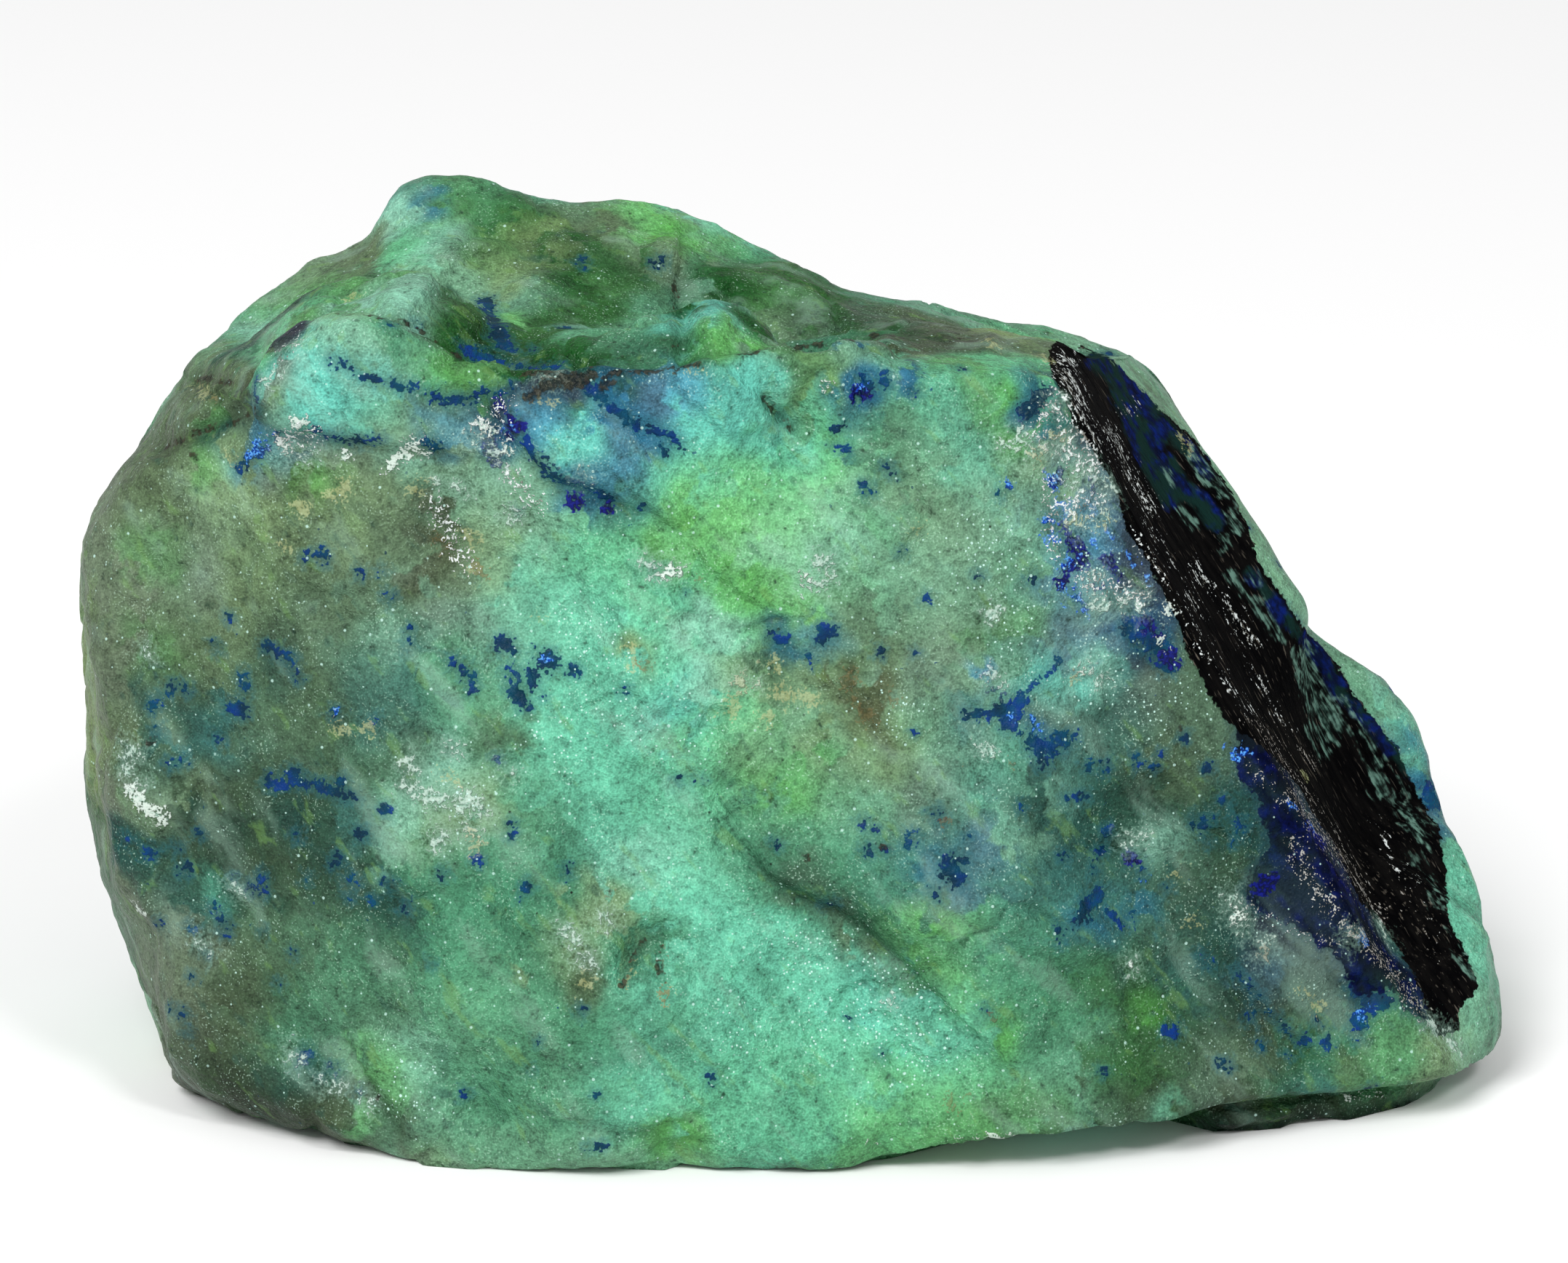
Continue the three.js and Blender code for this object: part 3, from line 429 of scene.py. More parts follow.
# Deep violet azurite, and its bright light-blue grains.
VIOLET = [
    (0.42, (672, 606), (676, 620), (684, 634)), (0.3, (694, 560), (704, 575), (716, 586)),
    (0.34, (706, 592), (698, 600)), (0.36, (785, 688), (796, 692)), (0.3, (834, 700), (838, 703)),
    (0.55, (1477, 745), (1484, 762)), (0.4, (1468, 782), (1490, 772)), (0.26, (1460, 720), (1468, 732)),
    (0.3, (1520, 770), (1540, 790)), (0.36, (1572, 852), (1588, 872)), (0.2, (1500, 660), (1506, 676)),
    (0.34, (1463, 796), (1460, 804)), (0.5, (1180, 538), (1190, 542)), (0.4, (1554, 1178), (1560, 1184)),
    (0.3, (1456, 655), (1452, 668)), (0.5, (1730, 1222), (1745, 1212)), (0.4, (1800, 1135), (1818, 1160)),
    (0.45, (1602, 900), (1612, 908)), (0.22, (1506, 804), (1520, 806)), (0.28, (680, 552), (690, 560)),
]
BRIGHT_BLUE = [
    (0.26, (1444, 652), (1450, 668)), (0.3, (1453, 672), (1460, 688), (1464, 708)),
    (0.24, (1440, 730), (1450, 745)), (0.3, (1465, 776), (1472, 766)), (0.26, (1500, 690), (1508, 704)),
    (0.2, (1524, 730), (1534, 744)), (0.24, (1476, 812), (1486, 828)), (0.2, (1550, 760), (1558, 772)),
    (0.2, (1496, 740), (1506, 752)), (0.24, (1449, 717), (1440, 712)), (0.24, (1465, 812), (1468, 822)),
    (0.22, (1484, 838), (1490, 842)), (0.3, (372, 598), (352, 612), (340, 628)),
    (0.16, (694, 590), (704, 596)), (0.26, (1178, 530), (1190, 534)), (0.2, (1710, 1027), (1716, 1030)),
    (0.2, (1779, 1106), (1783, 1108)), (0.16, (1797, 1133), (1806, 1136)),
    (0.26, (1874, 1240), (1880, 1246)), (0.28, (1870, 1292), (1880, 1296)),
    (0.2, (1948, 1322), (1950, 1332)), (0.24, (1871, 1392), (1878, 1402)),
    (0.16, (1966, 1392), (1970, 1400)), (0.14, (1566, 1196), (1570, 1202)), (0.2, (1393, 984), (1396, 990)),
    (0.16, (745, 903), (752, 908)), (0.14, (462, 980), (466, 982)), (0.2, (1424, 992), (1426, 1000)),
    (0.16, (1575, 790), (1580, 800)), (0.14, (1376, 660), (1392, 658)), (0.16, (1690, 1024), (1700, 1040)),
    (0.12, (1355, 922), (1362, 918)),
]
# Crisp white crusts, and the paler green and grey ones that break up into grains.
WHITE = [
    (0.34, (405, 580), (418, 588)), (0.2, (384, 604), (398, 618)), (0.34, (568, 611), (558, 622)),
    (0.3, (547, 630), (540, 640)), (0.16, (574, 620), (590, 622)), (0.26, (660, 584), (676, 592)),
    (0.14, (694, 600), (700, 622)), (0.22, (914, 784), (926, 782)), (0.42, (178, 1086), (196, 1104)),
    (0.36, (204, 1112), (222, 1126)), (0.3, (188, 1249), (196, 1254)), (0.2, (1137, 532), (1138, 533)),
    (0.09, (1197, 1570), (1204, 1572)), (0.1, (1286, 1577), (1310, 1570), (1340, 1565)),
    (0.15, (1362, 1562), (1390, 1560), (1424, 1561)),
    (0.09, (1450, 1559), (1470, 1556), (1515, 1553), (1554, 1551)),
    (0.13, (1855, 1508), (1880, 1504), (1899, 1504)), (0.28, (1700, 1248), (1704, 1262)),
    (0.22, (1604, 835), (1614, 843)), (0.2, (1590, 880), (1600, 884)), (0.14, (1484, 922), (1492, 926)),
    (0.12, (1556, 1328), (1558, 1328)), (0.16, (1938, 1190), (1944, 1210)), (0.16, (470, 622), (480, 628)),
    (0.14, (1100, 798), (1110, 800)),
]
CRUST = [
    (0.26, (389, 612), (410, 630)), (0.22, (410, 634), (428, 622)), (0.1, (405, 474), (392, 486)),
    (0.1, (376, 512), (366, 530)), (0.24, (650, 600), (664, 600)), (0.3, (753, 518), (766, 520)),
    (0.22, (798, 650), (806, 654)), (0.22, (700, 708), (716, 712)), (0.34, (914, 784), (926, 782)),
    (0.24, (888, 775), (900, 786)), (0.42, (590, 1096), (606, 1104)), (0.4, (624, 1098), (640, 1108)),
    (0.28, (648, 1090), (660, 1112)), (0.34, (640, 1136), (652, 1144)), (0.26, (610, 1148), (598, 1156)),
    (0.28, (560, 1050), (566, 1056)), (0.3, (554, 1080), (570, 1090)), (0.22, (622, 1028), (632, 1032)),
    (0.26, (190, 1080), (182, 1076)), (0.2, (276, 1296), (282, 1300)), (0.3, (828, 1262), (836, 1268)),
    (0.26, (800, 1316), (812, 1322)), (0.28, (776, 1280), (790, 1290)),
    (0.26, (1108, 802), (1126, 803), (1140, 798)), (0.3, (1128, 772), (1138, 780)),
    (0.24, (1486, 922), (1500, 926)), (0.18, (1508, 934), (1520, 930)), (0.22, (1378, 612), (1392, 606)),
    (0.32, (1400, 604), (1414, 610)), (0.34, (1418, 624), (1432, 618)), (0.34, (1448, 606), (1462, 612)),
    (0.26, (1446, 560), (1456, 554)), (0.34, (1464, 622), (1480, 636)), (0.2, (1486, 650), (1500, 644)),
    (0.22, (1508, 660), (1524, 672)), (0.2, (1500, 688), (1514, 702)), (0.26, (1470, 660), (1482, 670)),
    (0.24, (1474, 712), (1486, 724)), (0.26, (1520, 706), (1512, 716)), (0.34, (1550, 826), (1562, 834)),
    (0.24, (1566, 812), (1574, 820)), (0.22, (1498, 796), (1512, 790)), (0.3, (1500, 822), (1512, 830)),
    (0.3, (1366, 842), (1362, 846)), (0.3, (1364, 926), (1374, 934)), (0.32, (1694, 1236), (1708, 1270)),
    (0.2, (1738, 1300), (1736, 1312)), (0.2, (1556, 1326), (1558, 1328)),
    (0.2, (1544, 1160), (1562, 1156), (1578, 1152)), (0.32, (1964, 1404), (1970, 1412)),
    (0.34, (1990, 1430), (1998, 1436)), (0.22, (400, 1444), (404, 1456)), (0.2, (462, 1486), (470, 1490)),
    (0.2, (505, 1514), (509, 1518)), (0.28, (1016, 936), (1030, 940)), (0.16, (1225, 1376), (1228, 1378)),
    (0.2, (600, 660), (640, 680)), (0.2, (680, 622), (698, 650)), (0.2, (1350, 1030), (1358, 1032)),
    (0.2, (320, 1218), (326, 1222)), (0.16, (696, 1058), (704, 1060)), (0.2, (440, 1482), (446, 1488)),
    (0.2, (1895, 1270), (1905, 1290)), (0.25, (1855, 1283), (1862, 1290)), (0.2, (200, 890), (206, 900)),
    (0.18, (168, 1020), (190, 1040)), (0.2, (170, 1036), (178, 1060)),
]
# Cream, ochre and rust grains, and the brown-black crusts.
OCHRE = [
    (0.26, (457, 684), (466, 676), (474, 664)), (0.3, (410, 696), (418, 702)),
    (0.16, (386, 750), (398, 754)), (0.36, (640, 738), (652, 744)), (0.3, (646, 778), (658, 786)),
    (0.3, (570, 672), (580, 664)), (0.34, (1424, 624), (1430, 628)), (0.3, (1448, 598), (1462, 602)),
    (0.24, (1476, 716), (1484, 712)), (0.22, (1516, 714), (1520, 720)), (0.36, (1074, 950), (1086, 958)),
    (0.22, (1110, 960), (1116, 964)), (0.24, (1062, 910), (1068, 920)), (0.24, (1056, 984), (1057, 988)),
    (0.34, (1010, 962), (1004, 978)), (0.3, (1018, 936), (1026, 942)), (0.18, (1258, 728), (1266, 734)),
    (0.24, (1436, 490), (1442, 496)), (0.2, (484, 407), (486, 410)), (0.16, (318, 629), (319, 630)),
    (0.24, (270, 530), (290, 545)), (0.26, (462, 996), (476, 1000)), (0.26, (500, 998), (516, 1006)),
    (0.18, (1476, 926), (1480, 930)), (0.22, (1790, 1362), (1798, 1370)), (0.2, (1806, 1374), (1812, 1382)),
    (0.24, (1640, 1268), (1643, 1272)), (0.16, (1617, 1198), (1618, 1200)),
    (0.24, (805, 1345), (798, 1352)), (0.18, (862, 1346), (866, 1330)), (0.3, (1625, 600), (1634, 616)),
    (0.2, (1792, 1066), (1795, 1068)), (0.2, (644, 1140), (656, 1160)), (0.2, (615, 1064), (625, 1076)),
    (0.16, (738, 845), (740, 848)), (0.2, (866, 890), (872, 912)), (0.26, (1362, 466), (1364, 478)),
    (0.2, (951, 505), (958, 507)), (0.2, (736, 548), (760, 552)), (0.2, (916, 1364), (918, 1368)),
]
RUST = [
    (0.16, (957, 792), (962, 797)), (0.28, (1310, 1516), (1314, 1526)), (0.12, (1329, 1501), (1330, 1502)),
    (0.26, (650, 770), (664, 790)), (0.28, (1160, 938), (1172, 946)), (0.34, (1176, 966), (1186, 982)),
    (0.2, (1168, 925), (1180, 930)), (0.2, (1190, 985), (1202, 992)), (0.14, (1318, 1050), (1322, 1052)),
    (0.14, (1392, 1050), (1395, 1052)), (0.2, (288, 546), (294, 550)), (0.18, (1228, 958), (1231, 963)),
    (0.16, (912, 1360), (918, 1370)), (0.2, (905, 1308), (912, 1314)), (0.16, (838, 1225), (841, 1228)),
    (0.14, (1296, 1128), (1299, 1134)), (0.3, (600, 740), (620, 752)), (0.14, (1654, 1312), (1656, 1316)),
    (0.18, (1362, 1392), (1370, 1402)), (0.2, (1736, 1308), (1742, 1312)), (0.22, (888, 912), (882, 908)),
]
DARK_CRUST = [
    (0.34, (728, 545), (750, 530), (775, 521), (795, 516)), (0.4, (783, 528), (800, 518), (813, 515)),
    (0.3, (833, 530), (834, 520), (846, 510)),
    (0.2, (846, 510), (893, 510), (920, 506), (941, 503), (962, 501)),
    (0.19, (1016, 488), (1040, 485), (1094, 477), (1130, 472)),
    (0.24, (1130, 472), (1165, 466), (1200, 460)), (0.22, (1200, 462), (1240, 464)),
    (0.14, (269, 523), (283, 520), (300, 524), (320, 527)), (0.26, (274, 522), (290, 521)),
    (0.14, (350, 545), (350, 560), (356, 572)),
    (0.14, (224, 618), (240, 610), (252, 604), (277, 593), (302, 583)),
    (0.16, (302, 583), (328, 581), (345, 573)), (0.14, (928, 388), (927, 420), (929, 476)),
    (0.16, (1060, 560), (1072, 576), (1088, 590)), (0.2, (1048, 548), (1060, 560)),
    (0.2, (266, 625), (270, 630)), (0.12, (420, 447), (470, 432), (520, 437)),
    (0.12, (520, 437), (560, 445), (604, 469), (636, 494)), (0.11, (560, 1548), (530, 1520), (514, 1494)),
    (0.2, (700, 507), (730, 512), (760, 512)), (0.12, (1320, 466), (1340, 462)),
    (0.12, (855, 1357), (864, 1330), (870, 1312), (884, 1295)),
    (0.1, (908, 1300), (904, 1330), (911, 1348)), (0.12, (204, 1020), (214, 1016)),
    (0.14, (1224, 1163), (1206, 1160)), (0.1, (1100, 1170), (1112, 1180)),
    (0.14, (1616, 998), (1622, 1002)),
]
# Small dark grains, and how wide they are to each side.
GRAIN_WIDTH = 0.1
GRAINS = [
    (681, 1356), (927, 1395), (1280, 1396), (1281, 1394), (1060, 1187), (700, 1116), (434, 1146),
    (592, 1224), (566, 1305), (554, 1312), (738, 1186), (738, 1254), (841, 1470), (740, 1567), (746, 1558),
    (648, 1538), (1343, 1350), (1212, 1440), (240, 757), (207, 688), (920, 1138), (976, 1117), (1092, 1027),
    (256, 719), (1243, 1281), (786, 1227), (838, 1226), (1362, 723), (1218, 743), (514, 447),
]

# The black slab and the navy azurite beside it: corners of each patch.
SLAB_BLACK = [
    (1441, 484), (1451, 469), (1463, 465), (1485, 472), (1500, 481), (1526, 489), (1547, 511), (1565, 531),
    (1588, 555), (1606, 569), (1628, 590), (1646, 608), (1670, 642), (1689, 668), (1704, 698), (1716, 724),
    (1722, 748), (1730, 772), (1752, 802), (1778, 842), (1800, 872), (1834, 908), (1856, 946), (1886, 984),
    (1924, 1034), (1940, 1070), (1956, 1106), (1979, 1137), (1987, 1184), (1989, 1219), (1993, 1269),
    (2011, 1294), (2029, 1341), (2029, 1359), (2007, 1387), (2007, 1416), (1982, 1426), (1968, 1416),
    (1961, 1380), (1943, 1337), (1921, 1305), (1896, 1269), (1871, 1237), (1850, 1194), (1829, 1151),
    (1807, 1123), (1789, 1087), (1768, 1059), (1739, 1030), (1710, 1015), (1680, 986), (1662, 955),
    (1648, 930), (1636, 905), (1621, 866), (1610, 839), (1600, 820), (1588, 799), (1574, 769), (1559, 746),
    (1547, 728), (1541, 705), (1535, 681), (1522, 652), (1500, 616), (1482, 593), (1470, 569), (1456, 537),
    (1444, 511),
]
NAVY_BAND = [
    (1690, 985), (1750, 985), (1800, 1020), (1850, 1090), (1885, 1140), (1910, 1184), (1945, 1238),
    (1975, 1290), (1995, 1345), (1995, 1398), (1974, 1420), (1930, 1385), (1912, 1362), (1885, 1370),
    (1868, 1372), (1850, 1340), (1830, 1310), (1800, 1290), (1770, 1270), (1740, 1255), (1716, 1240),
    (1707, 1228), (1717, 1202), (1744, 1168), (1740, 1145), (1728, 1099), (1705, 1068),
]
# On the slab: teal and navy places, pale green ones, and white, grey and tan grains, which also lie beside
# it. Their widths are as they show from the camera.
SLAB_BLUE = [
    (0.55, (1512, 493), (1538, 519), (1559, 540), (1582, 566), (1591, 600)),
    (0.5, (1541, 543), (1565, 593), (1582, 640), (1606, 684)),
    (0.5, (1606, 640), (1620, 669), (1650, 690), (1670, 716)),
    (0.26, (1718, 787), (1736, 808), (1753, 830), (1775, 860), (1793, 880)),
    (0.26, (1793, 880), (1821, 912), (1843, 951), (1879, 991), (1921, 1041), (1940, 1065)),
    (0.3, (1600, 580), (1626, 612), (1660, 650)), (0.12, (1540, 740), (1580, 800), (1600, 830)),
]
SLAB_PALE = [
    (0.34, (1630, 704), (1640, 716)), (0.22, (1606, 648), (1612, 664)),
    (0.36, (1638, 626), (1659, 660), (1682, 680)), (0.34, (1690, 700), (1696, 726)),
    (0.22, (1680, 740), (1684, 752)), (0.18, (1723, 793), (1738, 819)), (0.16, (1690, 790), (1760, 880)),
    (0.5, (1790, 898), (1804, 944), (1822, 984), (1836, 1002)), (0.36, (1810, 1000), (1824, 1032)),
    (0.36, (1872, 1012), (1890, 1050), (1896, 1088)), (0.4, (1928, 1104), (1944, 1150), (1944, 1180)),
    (0.34, (1958, 1130), (1966, 1160)), (0.3, (1968, 1210), (1982, 1251)),
    (0.26, (2004, 1290), (2018, 1337)), (0.2, (1905, 1050), (1930, 1085)), (0.2, (1660, 650), (1680, 668)),
    (0.2, (1850, 960), (1870, 1000)),
]
SALT = [
    (0.65, (1462, 500), (1476, 545), (1492, 600), (1504, 630)),
    (0.36, (1452, 560), (1466, 610), (1480, 640)),
    (0.34, (1524, 590), (1547, 640), (1565, 670), (1584, 698)),
    (0.34, (1641, 778), (1665, 810), (1700, 846), (1722, 886)),
    (0.1, (1575, 710), (1600, 750), (1625, 800), (1650, 850)),
    (0.12, (1707, 887), (1732, 933), (1764, 998), (1807, 1051)),
    (0.16, (1889, 1130), (1915, 1180), (1936, 1223), (1961, 1266), (1978, 1326)),
    (0.1, (1760, 1040), (1800, 1090), (1840, 1150)), (0.2, (1940, 1215), (1948, 1236)),
    (0.12, (1720, 1050), (1760, 1100)),
    (0.2, (1560, 730), (1620, 830), (1680, 930), (1740, 1010), (1800, 1100)),
    (0.34, (1775, 1090), (1850, 1185), (1905, 1265)), (0.3, (1440, 660), (1450, 760)),
    (0.36, (1778, 1160), (1800, 1205), (1835, 1255)),
    (0.34, (1850, 1270), (1885, 1305), (1925, 1350), (1955, 1395)),
    (0.12, (1724, 1250), (1780, 1280), (1840, 1300)), (0.5, (1460, 700), (1500, 690)),
    (0.5, (1490, 800), (1530, 806), (1570, 820)), (0.4, (1440, 560), (1430, 600)),
    (0.3, (1560, 560), (1548, 566)), (0.5, (660, 585), (690, 560)), (0.1, (384, 494), (410, 466)),
    (0.4, (380, 600), (430, 600)), (0.5, (640, 770), (600, 700)), (0.4, (700, 650), (740, 690)),
]

# Painted shade in hollows, in creases, under steps and under the foot's overhang: how dark, half width and
# the line.
PAINTED_SHADE = [
    (0.34, 0.9, (1080, 1196), (1120, 1218), (1166, 1240), (1210, 1270), (1250, 1306), (1290, 1346)),
    (0.55, 0.35, (1040, 1180), (1057, 1200), (1099, 1226), (1148, 1245), (1190, 1272), (1230, 1306)),
    (0.25, 0.6, (1170, 1330), (1215, 1340), (1260, 1360)),
    (0.4, 0.3, (860, 1352), (872, 1318), (890, 1292), (914, 1272)), (0.12, 0.9, (880, 1300), (905, 1320)),
    (0.4, 0.35, (1056, 556), (1072, 576), (1092, 590)), (0.12, 0.9, (1056, 556), (1086, 580)),
    (0.35, 0.5, (800, 1466), (853, 1458), (880, 1450), (940, 1430)),
    (0.35, 0.45, (800, 1541), (853, 1556), (904, 1552)), (0.35, 0.6, (505, 1500), (530, 1530), (560, 1562)),
    (0.25, 0.5, (358, 574), (431, 601), (502, 615), (560, 622), (612, 628)),
    (0.3, 0.5, (714, 612), (761, 664), (842, 690)), (0.12, 0.5, (904, 706), (952, 758), (1000, 806)),
    (0.35, 0.9, (230, 615), (290, 590), (350, 575)), (0.3, 1.4, (1600, 1400), (1680, 1440), (1780, 1470)),
    (1.0, 0.95, (1650, 1552), (1760, 1546), (1850, 1540), (1930, 1526), (1975, 1508)),
    (0.5, 0.5, (1300, 1588), (1450, 1580), (1600, 1566)),
    (0.35, 1.4, (250, 1440), (300, 1490), (380, 1530)),
    (0.25, 2.2, (1640, 1240), (1690, 1330), (1720, 1400)),
    (0.25, 2.0, (380, 1100), (420, 1160), (480, 1190)), (0.3, 0.6, (600, 552), (648, 554), (694, 549)),
    (0.35, 0.8, (640, 460), (700, 500), (800, 500), (900, 480)),
    (0.3, 1.2, (820, 350), (900, 400), (1000, 400)),
    (0.25, 0.7, (620, 330), (700, 345), (800, 352), (880, 360)), (0.35, 0.8, (1800, 1340), (1825, 1385)),
    (0.5, 0.5, (1560, 880), (1570, 900), (1585, 905)), (0.3, 0.5, (1300, 468), (1340, 468)),
    (0.3, 0.5, (927, 382), (929, 476)), (0.3, 1.2, (1100, 440), (1250, 452)),
    (0.25, 0.8, (1480, 1170), (1420, 1130), (1400, 1040)),
]
# Clusters where the painted glints lie thickest: half width and place.
PAINTED_GLITTER = [
    (2.4, (1215, 1380)), (1.8, (1275, 1435)), (1.6, (1110, 1310)), (1.4, (1160, 1420)), (1.0, (1520, 922)),
    (0.8, (1500, 972)), (0.9, (1588, 966)), (0.7, (1636, 945)), (0.7, (1230, 971)), (1.0, (854, 982)),
    (1.0, (941, 998)), (1.6, (1360, 770)), (1.4, (1390, 860)), (1.2, (770, 1010)), (1.2, (640, 1110)),
    (1.4, (830, 870)), (1.2, (1500, 790)), (1.4, (560, 1500)), (1.2, (1010, 1430)),
]

# ---- Relief on the side towards the camera ----
# A step: how high one side stands over the other, how far its rise reaches, which side is up as the line is
# walked (1 is the right hand), and the line.
STEPS = [
    (0.55, 3.2, -1, (1030, 1166), (1057, 1203), (1099, 1228), (1148, 1249), (1190, 1274), (1215, 1299),
     (1256, 1332), (1289, 1365), (1316, 1392)),
    (0.3, 2.2, 1, (1078, 1372), (1107, 1340), (1173, 1318), (1215, 1338)),
    (0.4, 2.4, 1, (800, 1463), (853, 1453), (877, 1446), (904, 1436), (939, 1422), (975, 1422)),
    (0.35, 2.0, -1, (792, 1537), (835, 1543), (853, 1553), (904, 1547), (930, 1536)),
    (0.55, 2.6, -1, (510, 1478), (530, 1512), (560, 1552), (600, 1575)),
    (0.55, 3.0, -1, (352, 566), (393, 588), (431, 595), (469, 604), (502, 609), (560, 616), (612, 622)),
    (0.4, 2.4, -1, (712, 605), (738, 635), (761, 656), (799, 665), (842, 684)),
    (0.4, 2.6, -1, (898, 700), (927, 727), (952, 752), (970, 778), (1004, 802)),
    (0.4, 1.6, 1, (1008, 520), (1036, 540), (1062, 572), (1090, 592)),
    (0.3, 2.0, 1, (1200, 1186), (1290, 1250), (1360, 1300), (1440, 1330)),
    (0.35, 1.6, 1, (1512, 1168), (1548, 1162), (1580, 1150), (1606, 1140), (1640, 1146)),
    (0.25, 2.0, 1, (1380, 1010), (1410, 950), (1457, 907)),
    (0.3, 1.8, -1, (1700, 1336), (1740, 1392), (1800, 1440)),
    (0.3, 2.0, -1, (164, 930), (176, 840), (205, 760), (240, 690)),
    (0.35, 2.0, 1, (250, 610), (300, 585), (350, 568)),
    (0.6, 2.0, 1, (349, 564), (356, 511), (383, 465), (414, 442), (467, 430), (513, 434), (559, 450),
     (590, 461), (628, 488), (666, 507)),
    (0.7, 2.0, 1, (666, 507), (712, 511), (750, 515), (812, 507), (865, 511), (911, 511), (965, 497),
     (1018, 486), (1087, 476), (1164, 466)),
    (0.5, 2.0, -1, (600, 392), (640, 352), (700, 345), (770, 345), (850, 352), (910, 360)),
    (0.45, 1.6, 1, (930, 372), (929, 420), (929, 480)),
    (0.8, 1.6, -1, (1642, 1530), (1690, 1520), (1736, 1512), (1845, 1507), (1930, 1497), (1985, 1483),
     (2035, 1455)),
    (0.35, 1.6, -1, (960, 560), (1000, 600), (1040, 590), (1062, 575)),
]
# A groove, or a ridge where the depth is negative: depth, half width and the line.
GROOVES = [
    (0.16, 0.5, (1030, 1166), (1057, 1203), (1099, 1228), (1148, 1249), (1190, 1274), (1215, 1299),
     (1256, 1332)),
    (0.22, 0.5, (601, 546), (648, 548), (694, 543)),
    (0.16, 0.4, (809, 531), (846, 559), (879, 583), (916, 616)),
    (0.25, 0.5, (1052, 552), (1070, 572), (1094, 588)),
    (-0.14, 0.5, (728, 545), (775, 521), (846, 510), (941, 503), (964, 500)),
    (0.35, 0.5, (858, 1352), (866, 1320), (884, 1295), (908, 1277)),
    (0.3, 0.3, (908, 1300), (904, 1333), (911, 1350)), (0.3, 0.6, (1044, 1591), (1056, 1580)),
    (0.3, 0.6, (1214, 1578), (1226, 1566)), (0.35, 0.8, (927, 382), (929, 476)),
    (0.35, 0.7, (668, 314), (700, 326), (736, 331)),
    (0.3, 0.6, (224, 618), (277, 593), (328, 582), (347, 574)),
    (0.25, 0.5, (269, 523), (283, 520), (316, 526)), (0.2, 0.7, (940, 1060), (990, 1085), (1040, 1150)),
    (0.2, 0.6, (350, 480), (430, 440), (520, 436), (600, 460)),
    (-0.2, 0.8, (878, 1262), (916, 1252), (950, 1272)), (0.15, 0.6, (600, 1330), (680, 1400), (740, 1470)),
    (0.15, 0.8, (1000, 1110), (1020, 1180), (1000, 1260)), (0.2, 0.8, (280, 600), (230, 700), (215, 800)),
    (0.15, 0.7, (1140, 1090), (1200, 1140), (1260, 1200)),
    (0.6, 0.4, (1650, 1538), (1700, 1528), (1740, 1520), (1845, 1515), (1930, 1505), (1980, 1492)),
    (-0.12, 0.7, (380, 1260), (450, 1360), (520, 1450)), (-0.1, 0.8, (620, 1250), (700, 1330), (760, 1420)),
]
# A bump, or a pit where the height is negative: height, half width and place.
BUMPS = [
    (0.45, 0.9, (192, 1096)), (0.45, 0.8, (214, 1120)), (0.3, 0.6, (191, 1251)), (0.35, 2.2, (1028, 1216)),
    (0.25, 1.6, (617, 1101)), (0.3, 1.0, (1024, 900)), (0.3, 0.9, (1596, 1150)), (0.35, 0.7, (1702, 1254)),
    (0.3, 1.6, (830, 1010)), (-0.3, 1.6, (620, 770)), (0.4, 1.8, (1225, 1390)), (0.3, 1.4, (930, 1385)),
    (0.3, 1.4, (880, 1475)), (-0.35, 1.5, (1590, 1095)), (0.25, 1.2, (820, 1290)), (0.25, 1.6, (480, 480)),
    (0.3, 1.2, (1120, 760)), (-0.25, 2.0, (1140, 960)), (0.25, 1.4, (735, 400)), (0.3, 1.4, (880, 430)),
    (-0.3, 1.0, (1030, 440)), (0.3, 1.2, (985, 455)), (0.25, 1.6, (1430, 620)), (0.25, 2.0, (1300, 560)),
    (0.2, 2.0, (760, 1160)), (0.2, 2.0, (1400, 1090)), (-0.2, 1.6, (1500, 960)), (0.3, 0.5, (1362, 472)),
]
# Where the skin stands out further, or less: how far right and up, over what reach, and where.
SWELLS = [
    (0.39, 0.22, 3.5, (1585, 545)), (0.48, 0.26, 3.5, (1640, 600)), (0.78, 0.42, 3.5, (1700, 660)),
    (0.84, 0.45, 3.5, (1728, 740)), (1.1, 0.6, 3.5, (1762, 808)), (0.9, 0.48, 3.5, (1806, 872)),
    (0.36, 0.2, 3.5, (1860, 946)), (0.39, 0.22, 3.5, (1920, 1000)), (0.31, 0.17, 3.5, (1955, 1090)),
    (0.21, 0.12, 3.5, (1990, 1190)), (0.65, 0.1, 2.2, (2040, 1415)), (-0.35, 0.0, 1.6, (2055, 1335)),
    (0.45, 0.25, 1.3, (1780, 846)), (-0.4, 0.0, 3.0, (140, 735)), (-0.5, 0.0, 1.2, (145, 905)),
    (0.1, 0.0, 1.5, (135, 975)), (0.25, 0.0, 3.0, (195, 1340)), (0.6, 0.0, 2.0, (138, 1160)),
    (0.85, 0.0, 2.0, (185, 1290)), (0.0, 0.3, 3.0, (1250, 428)), (0.0, 0.2, 3.0, (1340, 450)),
    (0.35, 0.0, 3.0, (212, 1430)), (-0.1, 0.45, 3.0, (345, 425)), (-0.3, 0.1, 1.5, (560, 250)),
    (0.4, 0.1, 1.5, (672, 250)), (-0.35, 0.15, 2.0, (460, 355)),
]
